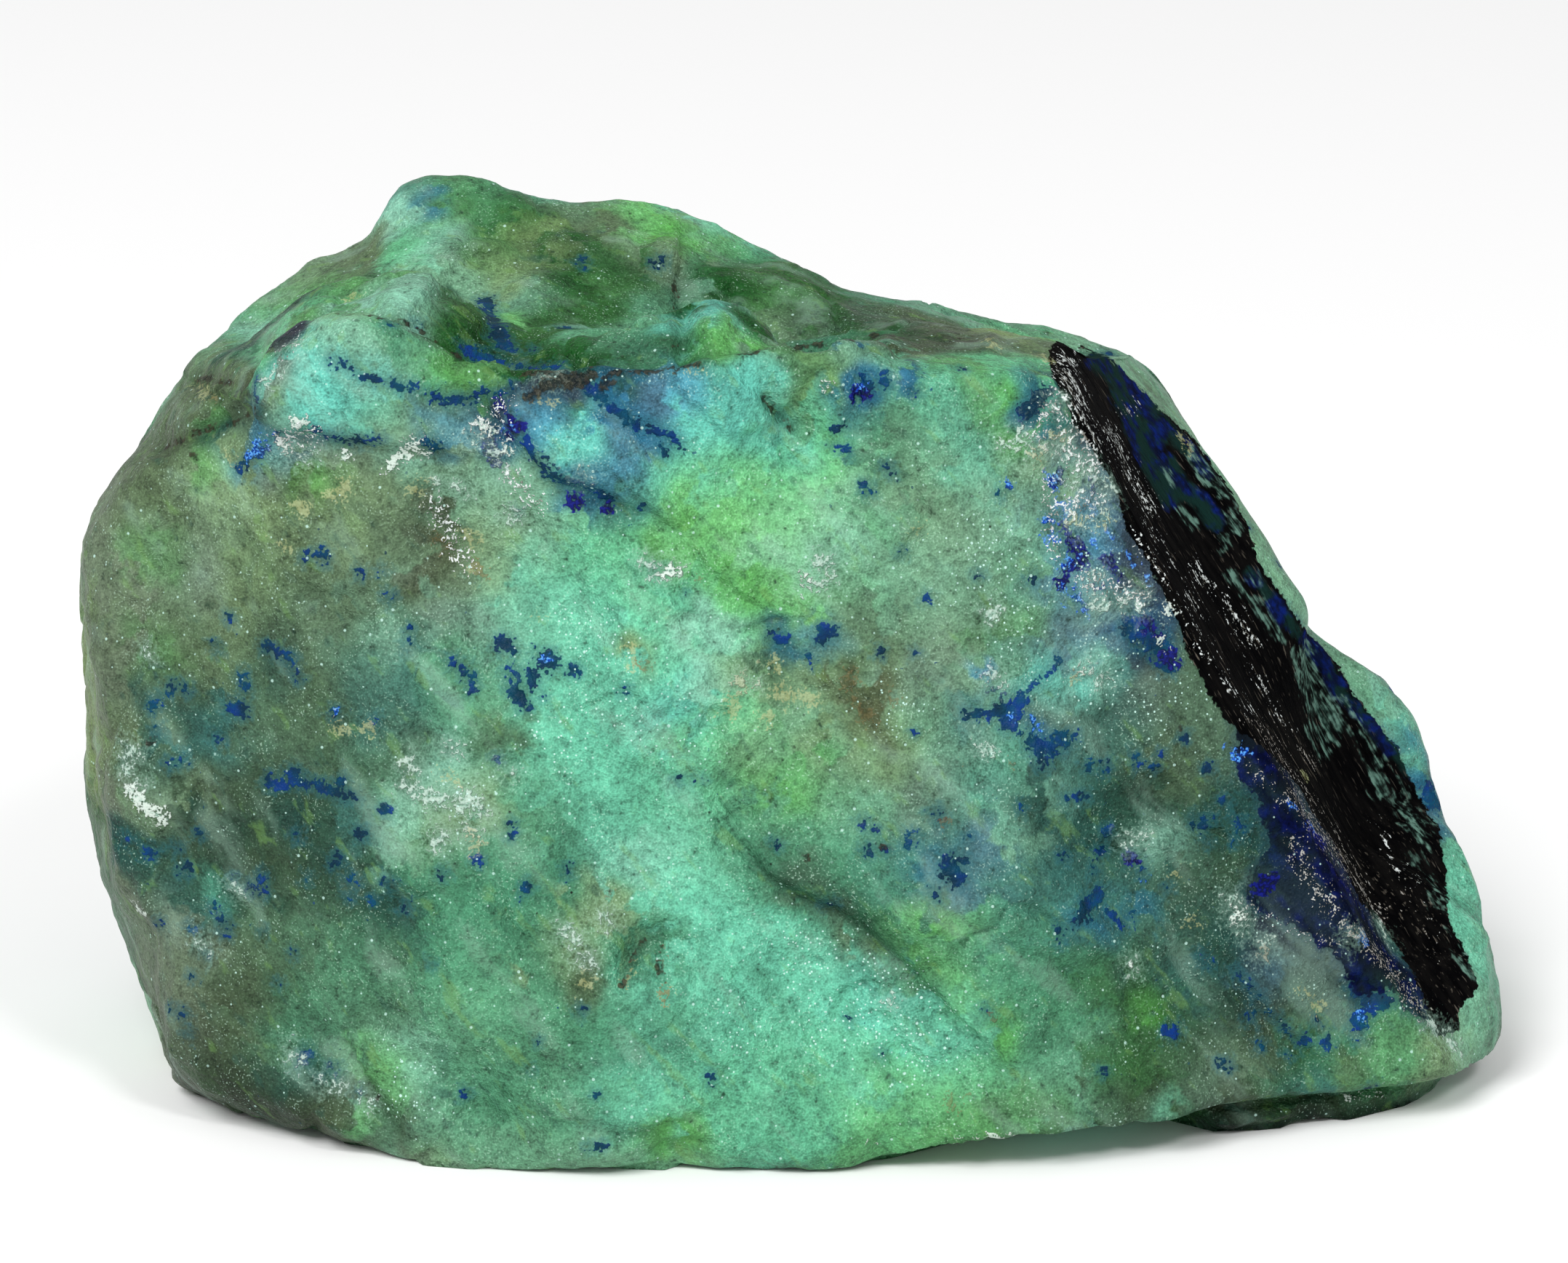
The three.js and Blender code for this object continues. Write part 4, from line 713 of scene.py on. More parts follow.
# Along the right of the foot the rock is hollowed out underneath: the place along X, how high the hollow
# reaches and how deep it goes.
UNDERCUT = [
    (2.0, 0.3, 0.0), (5.0, 0.9, 1.4), (8.0, 1.6, 3.0), (11.0, 1.9, 4.0), (15.7, 1.9, 4.2), (17.8, 1.9, 2.4),
    (19.2, 2.0, 0.8), (22.4, 2.1, 0.3), (25.4, 2.0, 0.4), (28.1, 1.9, 1.4), (30.0, 1.8, 2.6),
    (31.2, 1.7, 2.6), (32.6, 1.7, 1.5),
]
UNDERCUT_FADE = 12.0  # the hollow ends this far behind the front of the foot
UNDERCUT_EDGE = 0.5  # its roof comes down over this height
IN_FRONT = -40  # where lines that look for the front of the foot start, and the lowest that they run
ABOVE_TABLE = 0.2

STEP_WIDTH = 0.28  # a step rises from one side to the other within this far of its line
STEP_LOW_SHARE = 0.35  # so much of a step sinks on its low side, and the rest stands out on its high side
SKIN_NOISE = [(4.2, 0.20, 11.0), (1.8, 0.12, 5.0), (0.8, 0.06, 2.0)]  # size, height, and where in the noise
SLAB_CALM = 0.6  # how much of that the slab lacks
SLAB_SKIN = 0.6  # how far from the slab's plane its skin may lie
SLAB_SHARPNESS = 3  # how quickly skin further off stops counting as the slab's
CREASES = (6.5, 23.0, 3)  # joints wander over the whole skin: their size, where in the noise, and its octaves
CREASE_DEPTH = 0.32
CREASE_WIDTH = 0.07  # in the noise's own height
CREASE_GAPS = (5.0, 31.0, 1)  # the noise by which they come and go
CREASE_CONTRAST = 2.5
CREASE_COVER = 0.3
RELIEF_BY_VIEW = 4  # skin that faces the camera by a quarter or more has the drawn relief in full

# ---- The mesh ----
NEAR_CUTS = 5  # each edge that faces the camera is cut in so many places
FAR_CUTS = 2
NEAR_SMOOTHING = 22  # rounds in and out again, which keep the stone's size
FAR_SMOOTHING = 8
RIDGE_SMOOTHING = 8  # the slab's own edges stay crisper
IN_AND_OUT = (0.6, -0.62)
FLAT_BASE = 0.05  # below this the underside stays flat
DOUBLES = 0.001  # corners this close together become one
SKIN_FACES_CAMERA = 0.02  # skin turned to the camera by less than this counts as turned away
SLAB_LIKENESS = 0.93  # a face that points this nearly the slab's way is part of it
CLEAR_OF_SKIN = 0.08  # lines of sight start this far off the skin
ATTRIBUTE_REACH = 2.5  # distances are kept up to this far outside a mineral


def falloff(gap, reach):
    """Fades from 1 to 0 as a gap grows past its reach."""
    return np.exp(-((gap / reach) ** 2))


def eased(share):
    """A share from 0 to 1 that starts and ends gently."""
    return share * share * (3 - 2 * share)


def to_picture(points):
    """Where points fall in the camera's picture, in pixels right and down."""
    away = points - np.array(AIM)
    nearer = CAMERA_DISTANCE - away @ np.array(TO_EYE)
    scale = CAMERA_DISTANCE / nearer / PIXEL
    right = PICTURE_SIZE[0] / 2 + away[:, 0] * scale
    down = PICTURE_SIZE[1] / 2 - away @ np.array(EYE_UP) * scale
    return np.stack([right, down], 1)


def on_stone(tree, place):
    """The point of the stone that the camera sees at a place of its picture, or the nearest one to it."""
    right = (place[0] - PICTURE_SIZE[0] / 2) * PIXEL
    up = (PICTURE_SIZE[1] / 2 - place[1]) * PIXEL
    target = AIM + Vector((right, 0, 0)) + EYE_UP * up
    hit = tree.ray_cast(EYE, (target - EYE).normalized())[0]
    return hit if hit is not None else tree.find_nearest(target)[0]


def distance_to_line(points, line):
    """The distance of each point from a line through several places, and the side of it that it is on."""
    nearest = np.full(len(points), np.inf)
    side = np.zeros(len(points))
    for start, end in zip(line[:-1], line[1:]):
        along = end - start
        away = points - start
        share = np.clip(away @ along / max(along @ along, 1e-9), 0, 1)
        gap = np.linalg.norm(away - share[:, None] * along, axis=1)
        closer = gap < nearest
        nearest[closer] = gap[closer]
        side[closer] = np.sign(along[0] * away[closer, 1] - along[1] * away[closer, 0])
    return nearest, side


def picture_line(line):
    """A line of the picture, in millimetres as it shows there."""
    return np.array(line, float) * PIXEL


def nearness(points, lines):
    """How far each point is inside the widest of several lines, given as width and places in space."""
    inside = np.full(len(points), -ATTRIBUTE_REACH)
    for width, line in lines:
        line = np.array(line, float)
        if len(line) == 1:
            line = np.repeat(line, 2, 0)
        low, high = line.min(0) - ATTRIBUTE_REACH, line.max(0) + ATTRIBUTE_REACH
        near = np.nonzero(np.all((points > low) & (points < high), axis=1))[0]
        if len(near):
            inside[near] = np.maximum(inside[near], width - distance_to_line(points[near], line)[0])
    return inside


def inside_polygon(places, corners):
    """How many pixels each place of the picture is inside a closed outline, or outside it where negative."""
    corners = np.array(corners + corners[:1], float)
    gap = distance_to_line(places, corners)[0]
    inside = np.zeros(len(places), bool)
    right, down = places.T
    for (x0, y0), (x1, y1) in zip(corners[:-1], corners[1:]):
        if y0 != y1:
            beside = (down > y0) != (down > y1)
            inside ^= beside & (right < x0 + (down - y0) / (y1 - y0) * (x1 - x0))
    return np.where(inside, gap, -gap)


def noise_at(points, size, place, octaves=2):
    """Smooth noise of one size at each point, about -1 to 1."""
    shift = Vector((place, place, place))
    return np.array([noise.fractal(Vector(p) / size + shift, 1.0, 2.0, octaves) for p in points])


def above_slab(points):
    """How far each point stands out over the slab's plane."""
    return (points - np.array(SLAB_POINT)) @ np.array(SLAB_NORMAL)


def seen(points, normals, tree):
    """How squarely each point faces the camera, and 0 where it is turned away or something hides it."""
    facing = normals @ np.array(TO_EYE)
    view = np.zeros(len(points))
    for i in np.nonzero(facing > SKIN_FACES_CAMERA)[0]:
        start = Vector(points[i]) + Vector(normals[i]) * CLEAR_OF_SKIN
        if tree.ray_cast(start, (EYE - start).normalized())[0] is None:
            view[i] = facing[i]
    return view


def faces_camera(faces):
    return any(face.normal.dot(TO_EYE) > SKIN_FACES_CAMERA for face in faces)


def cut_finer(shape):
    """Cuts the solid's triangles into smaller ones, and leaves the underside as it is."""
    shape.normal_update()
    near, far = [], []
    for edge in shape.edges:
        if any(v.co.z >= FLAT_BASE for v in edge.verts):
            (near if faces_camera(edge.link_faces) else far).append(edge)
    bmesh.ops.subdivide_edges(shape, edges=near, cuts=NEAR_CUTS, use_grid_fill=True)
    far = [edge for edge in far if edge.is_valid]
    bmesh.ops.subdivide_edges(shape, edges=far, cuts=FAR_CUTS, use_grid_fill=True)
    bmesh.ops.triangulate(shape, faces=shape.faces)


def round_facets(shape):
    """Rounds the facets off, and the slab's edges less than the others."""
    shape.normal_update()
    near, far, ridge = [], [], []
    for vertex in shape.verts:
        if vertex.co.z < FLAT_BASE:
            continue
        slab_side = [face.normal.dot(SLAB_NORMAL) > SLAB_LIKENESS for face in vertex.link_faces]
        if any(slab_side) and not all(slab_side):
            ridge.append(vertex)
        elif faces_camera(vertex.link_faces):
            near.append(vertex)
        else:
            far.append(vertex)
    axes = {"use_axis_x": True, "use_axis_y": True, "use_axis_z": True}
    for turn in range(NEAR_SMOOTHING):
        moving = near + (far if turn < FAR_SMOOTHING else []) + (ridge if turn < RIDGE_SMOOTHING else [])
        for factor in IN_AND_OUT:
            bmesh.ops.smooth_vert(shape, verts=moving, factor=factor, **axes)


def broken_grain(points):
    """The height of the broken grain and the joints that cover the whole skin, both weaker on the slab."""
    slab = np.clip((SLAB_SKIN - np.abs(above_slab(points))) * SLAB_SHARPNESS, 0, 1)
    height = sum(size * noise_at(points, scale, place) for scale, size, place in SKIN_NOISE)
    joints = falloff(noise_at(points, *CREASES), CREASE_WIDTH)
    opened = np.clip(noise_at(points, *CREASE_GAPS) * CREASE_CONTRAST + CREASE_COVER, 0, 1)
    return height * (1 - SLAB_CALM * slab) - CREASE_DEPTH * joints * opened * (1 - slab)


def drawn_relief(points):
    """The height of the stone's own steps, grooves and bumps, as they fall in the camera's picture."""
    picture = to_picture(points) * PIXEL
    height = np.zeros(len(points))
    for rise, reach, side, *line in STEPS:
        gap, hand = distance_to_line(picture, picture_line(line))
        across = np.clip(gap * hand * side / STEP_WIDTH, -1, 1) * 0.5 + 0.5
        height += rise * falloff(gap, reach) * (eased(across) - STEP_LOW_SHARE)
    for depth, width, *line in GROOVES:
        height -= depth * falloff(distance_to_line(picture, picture_line(line))[0], width)
    for rise, width, place in BUMPS:
        height += rise * falloff(np.linalg.norm(picture - picture_line(place), axis=1), width)
    return height


def hollow_foot(tree, points, moved):
    """Hollows the rock out under the right of the foot, deepest at its front."""
    across, tall, deep = np.array(UNDERCUT, float).T
    low = points[:, 2] < max(tall) + UNDERCUT_EDGE
    for i in np.nonzero(low & (points[:, 0] > across[0]) & (points[:, 0] < across[-1]))[0]:
        x, y, z = points[i]
        front = tree.ray_cast(Vector((x, IN_FRONT, max(z, ABOVE_TABLE))), Vector((0, 1, 0)))[0]
        if front is not None:
            below = min(max((np.interp(x, across, tall) - z) / UNDERCUT_EDGE, 0), 1)
            inner = min(max((y - front.y) / UNDERCUT_FADE, 0), 1)
            moved[i, 1] += np.interp(x, across, deep) * eased(below) * (1 - inner) ** 2


def raise_relief(shape, relief):
    """Moves the skin in and out, swells it and hollows the foot, all inside the solid's box."""
    shape.verts.ensure_lookup_table()
    shape.normal_update()
    points = np.array([v.co for v in shape.verts])
    normals = np.array([v.normal for v in shape.verts])
    tree = BVHTree.FromBMesh(shape)
    view = np.clip(seen(points, normals, tree) * RELIEF_BY_VIEW, 0, 1)
    off_base = points[:, 2] > FLAT_BASE
    height = broken_grain(points) + drawn_relief(points) * view
    moved = points + normals * (height * relief * off_base)[:, None]
    for right, up, reach, place in SWELLS:
        gap = np.linalg.norm(points - np.array(on_stone(tree, place)), axis=1)
        moved += (falloff(gap, reach) * off_base)[:, None] * np.array((right, 0, up))
    hollow_foot(tree, points, moved)
    low, high = (np.array(corner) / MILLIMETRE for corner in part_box("stone"))
    for vertex, place in zip(shape.verts, np.clip(moved, low, high)):
        vertex.co = place


# ---- Minerals on the skin ----
SEED = 11
NOISE_SEED = 1795485633  # noise_vector starts from the clock if it isn't given a seed
HIDDEN_PLACES = 300  # tried all round the stone; those that the camera sees are left out
HIDDEN_REACH = 3.0  # the washes out of the camera's sight reach about this far
HIDDEN_SPREAD = (0.6, 1.3)
GOLDEN_ANGLE = math.pi * (3 - math.sqrt(5))
HEART = Vector((-1, 0, 18))
SIGHT_LIMIT = 0.1  # skin that faces the camera by less than this is out of its sight
FLECK_CLUSTERS = 30
FLECKS_IN_CLUSTER = (3, 12)
CLUSTER_SPREAD = (0.7, 2.2)
FLECK_WIDTH = (0.12, 0.46)
FLECK_STEP = 0.5
# How far the washes' borders wander: size, distance, and where in the noise.
WARPS = [(4.0, 1.2, 0.0), (1.3, 0.6, 0.0)]
WARPS_BESIDE = [(6.0, 2.6, 7.0), (2.0, 1.4, 3.0)]
FAR_WEIGHT = 1e-9  # where no wash reaches, the nearest still tints the rock
FAR_REACH = 4
LEAST_WEIGHT = 1e-12
PAINTED_SHADE_BY_VIEW = 5  # skin that faces the camera by a fifth or more has its painted shade in full
STEEPEST = 0.3  # the least facing by which a width in the picture is divided, to give one on the skin
SLAB_OVERLAP = 1.4  # how far under the slab's plane its black may lie
FLECKS = [(half, (right, down)) for right, down, half in AZURITE_FLECKS]
# Each mineral's own places, then its lines on the sides out of the camera's sight: how many, how wide,
# how many steps long, and how far a step goes. The white crust and the dark grains have none there.
MINERALS = {
    "azurite": (AZURITE + FLECKS, 9, (0.15, 0.45), (3, 9), 1.1),
    "violet": (VIOLET, 5, (0.2, 0.5), (1, 2), 0.8),
    "bright_blue": (BRIGHT_BLUE, 6, (0.12, 0.3), (1, 2), 0.6),
    "crust": (CRUST, 14, (0.15, 0.45), (1, 5), 0.8),
    "white": (WHITE,),
    "ochre": (OCHRE, 12, (0.15, 0.35), (1, 3), 0.7),
    "rust": (RUST, 6, (0.12, 0.25), (1, 2), 0.5),
    "dark_crust": (DARK_CRUST, 8, (0.1, 0.2), (4, 10), 0.9),
    "grain": ([(GRAIN_WIDTH, place) for place in GRAINS],),
}
PICTURE_LINES = {"slab_blue": SLAB_BLUE, "slab_pale": SLAB_PALE, "salt": SALT, "painted_glitter": PAINTED_GLITTER}


def linear(name):
    """A named tone, as three linear amounts of light."""
    return [((c / 255 + 0.055) / 1.055) ** 2.4 if c > 10 else c / 255 / 12.92 for c in TONES[name]]


def camera_sees(tree, place, normal):
    start = place + normal * SIGHT_LIMIT
    return normal.dot(TO_EYE) >= SIGHT_LIMIT and tree.ray_cast(start, (EYE - start).normalized())[0] is None


def hidden_places(tree):
    """Places spread evenly over the skin, where the camera doesn't see them."""
    found = []
    for i in range(HIDDEN_PLACES):
        rise = 1 - 2 * (i + 0.5) / HIDDEN_PLACES
        level = math.sqrt(1 - rise * rise)
        turn = i * GOLDEN_ANGLE
        direction = Vector((level * math.cos(turn), level * math.sin(turn), rise))
        place, normal, _, _ = tree.ray_cast(HEART, direction)
        if place is not None and not camera_sees(tree, place, normal):
            found.append(place)
    return found


def wander(tree, start, chance, steps, stride):
    """A line that wanders over the skin from a place, and ends where the camera would see it."""
    line = [start]
    heading = Vector([chance.uniform(-1, 1) for _ in range(3)]).normalized()
    for _ in range(steps):
        heading = (heading + 0.5 * Vector([chance.uniform(-1, 1) for _ in range(3)])).normalized()
        place, normal, _, _ = tree.find_nearest(line[-1] + heading * stride)
        if camera_sees(tree, place, normal):
            break
        line.append(place)
    return line


def hidden_lines(tree, hidden, chance, count, widths, steps, stride):
    """Lines of one mineral that wander over the sides out of the camera's sight."""
    starts = [chance.choice(hidden) for _ in range(count)]
    lines = []
    for start in starts:
        width = chance.uniform(*widths)
        lines.append((width, wander(tree, start, chance, chance.randint(*steps), stride)))
    return lines


def hidden_flecks(tree, hidden, chance):
    """Azurite flecks in loose clusters on the sides out of the camera's sight."""
    flecks = []
    for _ in range(FLECK_CLUSTERS):
        middle = chance.choice(hidden)
        spread = chance.uniform(*CLUSTER_SPREAD)
        for _ in range(chance.randint(*FLECKS_IN_CLUSTER)):
            beside = middle + Vector([chance.gauss(0, spread) for _ in range(3)])
            width = chance.uniform(*FLECK_WIDTH)
            flecks.append((width, wander(tree, tree.find_nearest(beside)[0], chance, 1, FLECK_STEP)))
    return flecks


def mineral_masks(points, tree, hidden, chance):
    """How far each point is inside each mineral that lies on the skin in lines and grains."""
    flecks = hidden_flecks(tree, hidden, chance)
    masks = {}
    for name, (entries, *spread) in MINERALS.items():
        lines = [(width, [on_stone(tree, place) for place in places]) for width, *places in entries]
        if spread:
            lines += hidden_lines(tree, hidden, chance, *spread)
        masks[name] = nearness(points, lines + (flecks if name == "azurite" else []))
    return masks


def nearest_seen(points, view):
    """The nearest point to each one that the camera sees, and how far off it is."""
    spots = KDTree(len(points))
    for i in np.nonzero(view > 0)[0]:
        spots.insert(points[i], i)
    spots.balance()
    nearest, gap = np.arange(len(points)), np.zeros(len(points))
    for i in np.nonzero(view == 0)[0]:
        _, nearest[i], gap[i] = spots.find(points[i])
    return nearest, gap


def picture_masks(points, view):
    """How far each point is inside the patches and lines that are drawn in the camera's picture.

    Where the camera doesn't see the skin, a mask goes on from the nearest seen point and fades with distance.
    """
    picture = to_picture(points)
    navy = inside_polygon(picture, NAVY_BAND) * PIXEL / np.clip(view, STEEPEST, 1)
    black = inside_polygon(picture, SLAB_BLACK) * PIXEL / STEEPEST
    masks = {"navy": navy, "slab": np.minimum(black, SLAB_OVERLAP + above_slab(points))}
    flat = np.column_stack([picture * PIXEL, np.zeros(len(points))])
    for name, entries in PICTURE_LINES.items():
        lines = [(width, [(*picture_line(place), 0) for place in places]) for width, *places in entries]
        masks[name] = nearness(flat, lines)
    nearest, gap = nearest_seen(points, view)
    for name, mask in masks.items():
        masks[name] = np.clip(mask[nearest] - gap, -ATTRIBUTE_REACH, ATTRIBUTE_REACH)
    return masks


def painted_shade_mask(points, view):
    """How dark the painted shade in hollows, creases and under steps is at each point that the camera sees.
    """
    picture = to_picture(points) * PIXEL
    clear = np.ones(len(points))
    for dark, width, *line in PAINTED_SHADE:
        clear *= 1 - dark * falloff(distance_to_line(picture, picture_line(line))[0], width)
    return (1 - clear) * np.clip(view * PAINTED_SHADE_BY_VIEW, 0, 1)


def placed_washes(tree, hidden, chance):
    """Every wash as place, reach and tone: those that the camera sees, then those on the other sides."""
    washes = []
    for name, places in WASHES.items():
        washes += [(place[:2], (*place, WASH_REACH)[2], name) for place in places]
    wide = [name for _, reach, name in washes if reach >= WIDE_REACH]
    placed = [(on_stone(tree, place), reach, name) for place, reach, name in washes]
    for place in hidden:
        placed.append((place, HIDDEN_REACH * chance.uniform(*HIDDEN_SPREAD), chance.choice(wide)))
    return placed


def colour_washes(points, placed, warps):
    """The pale, green and blue washes of the rock: at each point, an average of the tones placed round it."""
    warped = points.copy()
    for size, far, place in warps:
        shift = Vector((place, 0, 0))
        warped += far * np.array([noise.noise_vector(Vector(p) / size + shift) for p in points])
    total = np.zeros((len(points), 3))
    weights = np.full(len(points), LEAST_WEIGHT)
    for place, reach, name in placed:
        gap = np.linalg.norm(warped - np.array(place), axis=1)
        weight = falloff(gap, reach) * (WASH_REACH / reach) ** 2 + FAR_WEIGHT * np.exp(-gap / FAR_REACH)
        total += weight[:, None] * np.array(linear(name))
        weights += weight
    return total / weights[:, None]


def paint_minerals(mesh, points):
    """Writes the washes, and how far each point is inside each mineral in millimetres, as attributes."""
    normals = np.zeros(len(points) * 3)
    mesh.vertices.foreach_get("normal", normals)
    tree = BVHTree.FromPolygons([Vector(p) for p in points], [p.vertices for p in mesh.polygons])
    view = seen(points, normals.reshape(-1, 3), tree)
    chance = random.Random(SEED)
    noise.seed_set(NOISE_SEED)
    hidden = hidden_places(tree)
    masks = mineral_masks(points, tree, hidden, chance)
    masks.update(picture_masks(points, view))
    # painted shade in the hollows, creases and under steps
    masks["painted_shade"] = painted_shade_mask(points, view)
    for name, values in masks.items():
        mesh.attributes.new(name, "FLOAT", "POINT").data.foreach_set("value", values.astype(np.float32))
    placed = placed_washes(tree, hidden, chance)
    for name, warps in (("wash", WARPS), ("wash_beside", WARPS_BESIDE)):
        colours = np.ones((len(points), 4), np.float32)
        colours[:, :3] = colour_washes(points, placed, warps)
        mesh.attributes.new(name, "FLOAT_COLOR", "POINT").data.foreach_set("color", colours.ravel())


# ---- The shader ----
BEDDING_STRETCH = (4, 1, 1)
FIBRE_STRETCH = (9, 1.6, 1)
BEDDING_SHARE = 0.8  # the bedding dips less steeply than the slab
WASH_GAMMA = 1.14
WAXY_ROUGHNESS = 0.42
DULL_ROUGHNESS = 0.75
MASK, COLOUR = 2, 0  # the Attribute node's outputs


class Wire:
    """An output of a shader node. Arithmetic on it adds Math nodes, and numbers may stand on either side."""

    tree = None

    def __init__(self, socket):
        self.socket = socket

    @classmethod
    def make(cls, kind, settings=None, inputs=None, output=0):
        """Adds a node of a kind, sets it, gives its inputs values or wires, and returns an output of it."""
        node = cls.tree.nodes.new(kind)
        for name, value in (settings or {}).items():
            setattr(node, name, value)
        for name, value in (inputs or {}).items():
            if isinstance(value, Wire):
                cls.tree.links.new(value.socket, node.inputs[name])
            else:
                node.inputs[name].default_value = value
        return cls(node.outputs[output])

    def maths(self, operation, *others):
        return Wire.make("ShaderNodeMath", {"operation": operation}, dict(enumerate((self, *others))))

    def __add__(self, other):
        return self.maths("ADD", other)

    def __sub__(self, other):
        return self.maths("SUBTRACT", other)

    def __rsub__(self, other):
        return Wire.make("ShaderNodeMath", {"operation": "SUBTRACT"}, {0: other, 1: self})

    def __mul__(self, other):
        return self.maths("MULTIPLY", other)

    __radd__ = __add__
    __rmul__ = __mul__

    def ramp(self, low, high, least=0.0, most=1.0):
        """Rises smoothly from least to most as this goes from low to high."""
        return Wire.make(
            "ShaderNodeMapRange",
            {"interpolation_type": "SMOOTHSTEP"},
            {"Value": self, "From Min": low, "From Max": high, "To Min": least, "To Max": most},
        )


def attribute(name, output=MASK):
    return Wire.make("ShaderNodeAttribute", {"attribute_name": name}, output=output)


def grain(place, size, detail=2.0, shift=0.0):
    """Noise of one size in millimetres, about -1 to 1."""
    if shift:
        place = Wire.make("ShaderNodeVectorMath", {"operation": "ADD"}, {0: place, 1: (shift, shift, shift)})
    inputs = {"Vector": place, "Scale": 1 / (size * MILLIMETRE), "Detail": detail}
    return (Wire.make("ShaderNodeTexNoise", inputs=inputs) - 0.5) * 5


def sparks(place, spacing, radius, share):
    """Tiny round specks at a spacing in millimetres, in a share of the places where one could be."""
    cells = ({"feature": "F1"}, {"Vector": place, "Scale": 1 / (spacing * MILLIMETRE)})
    gap = Wire.make("ShaderNodeTexVoronoi", *cells, "Distance")
    luck = Wire.make("ShaderNodeTexVoronoi", *cells, "Color")
    luck = Wire.make("ShaderNodeSeparateColor", inputs={"Color": luck})
    return gap.ramp(radius / spacing, radius / spacing / 2) * (share - luck).ramp(0.0, 0.03)


def mix(amount, below, above):
    return Wire.make("ShaderNodeMix", {"data_type": "RGBA"}, {0: amount, 6: below, 7: above}, 2)


def brighten(colour, amount):
    return Wire.make("ShaderNodeVectorMath", {"operation": "SCALE"}, {0: colour, "Scale": amount})


def tones(pattern, dark, light):
    """Two named tones that a pattern mixes."""
    return mix(pattern, tone(dark), tone(light))


def tone(name):
    return (*linear(name), 1)


def stain(colour, mask, name):
    """A colour, with a named tone over it where the mask is."""
    return mix(mask, colour, tone(name))


class Grains(NamedTuple):
    """The noises that the minerals share, some of them drawn out along the bedding and the slope."""

    place: Wire
    bedding: Wire
    large: Wire
    middle: Wire
    small: Wire
    fine: Wire
    dust: Wire
    bands: Wire
    wisps: Wire
    fibre: Wire
    thread: Wire
    hair: Wire

    def blend(self, **amounts):
        """The sum of some of these noises, each times its amount."""
        return sum(getattr(self, name) * amount for name, amount in amounts.items())

    @property
    def ragged(self):
        return self.blend(small=0.18, fine=0.10)

    @property
    def scatter(self):
        return self.blend(small=0.34, fine=0.30, dust=0.16)


def turned(place, turn, stretch):
    """Object coordinates turned about Y and stretched, for a pattern that runs one way."""
    inputs = {"Vector": place, "Rotation": (0, turn, 0), "Scale": stretch}
    return Wire.make("ShaderNodeMapping", {"vector_type": "TEXTURE"}, inputs)


def shared_grains():
    place = Wire.make("ShaderNodeTexCoord", output="Object")
    bedding = turned(place, SLOPE_TURN * BEDDING_SHARE, BEDDING_STRETCH)
    along = turned(place, SLOPE_TURN, FIBRE_STRETCH)
    return Grains(
        place=place,
        bedding=bedding,
        large=grain(place, 4.5),
        middle=grain(place, 1.5, 3),
        small=grain(place, 0.5, 2, 0.3),
        fine=grain(place, 0.2, 1, 0.1),
        dust=grain(place, 0.09, 0, 0.2),
        bands=grain(bedding, 2.2, 5, 0.15),
        wisps=grain(bedding, 0.8, 4, 0.35),
        fibre=grain(along, 0.42, 3, 0.05),
        thread=grain(along, 0.16, 2, 0.02),
        hair=grain(along, 0.09, 1, 0.25),
    )


def rock(grains):
    """The rock: washes that finger into each other, painted shade, clouds, wisps, cracks, blooms and pores.
    """
    fingers = grain(grains.place, 1.7, 6, 0.45).ramp(0.0, 0.3)
    colour = mix(fingers, attribute("wash", COLOUR), attribute("wash_beside", COLOUR))
    colour = Wire.make("ShaderNodeGamma", inputs={"Color": colour, "Gamma": WASH_GAMMA})
    # painted shade darkens the washes in hollows, creases and under the foot
    colour = stain(colour, attribute("painted_shade") * (1 + grains.blend(middle=0.25, small=0.15)), "painted_shade")
    shade = grains.blend(large=0.06, middle=0.12, bands=0.20, small=0.20, fine=0.16, dust=0.15)
    colour = brighten(colour, 1 + shade)
    clouds = grain(grains.bedding, 1.9, 6, 0.5)
    colour = stain(colour, clouds.ramp(0.2, 1.1, 0.0, 0.24), "cloud")
    colour = stain(colour, clouds.ramp(-0.2, -1.1, 0.0, 0.28), "cloud shade")
    wisps = grains.blend(wisps=1, small=0.2)
    colour = stain(colour, wisps.ramp(0.5, 1.1, 0.0, 0.36), "wisp")
    colour = stain(colour, wisps.ramp(-0.6, -1.2, 0.0, 0.38), "dark wisp")
    cracks = grain(grains.place, 3.2, 5, 1.7).maths("ABSOLUTE").ramp(0.05, 0.0)
    colour = stain(colour, cracks * grains.middle.ramp(0.2, 1.0, 0.0, 0.3), "crack")
    blooms = grains.dust.ramp(0.8, 1.3) * grains.middle.ramp(-0.4, 0.9, 0.1, 1.0)
    colour = stain(colour, blooms * 0.36, "bloom")
    colour = stain(colour, grains.blend(fine=0.7, small=0.6).ramp(-0.85, -1.5) * 0.56, "pore")
    return stain(colour, grains.blend(small=0.9, middle=0.4).ramp(-1.0, -1.7) * 0.5, "pit")


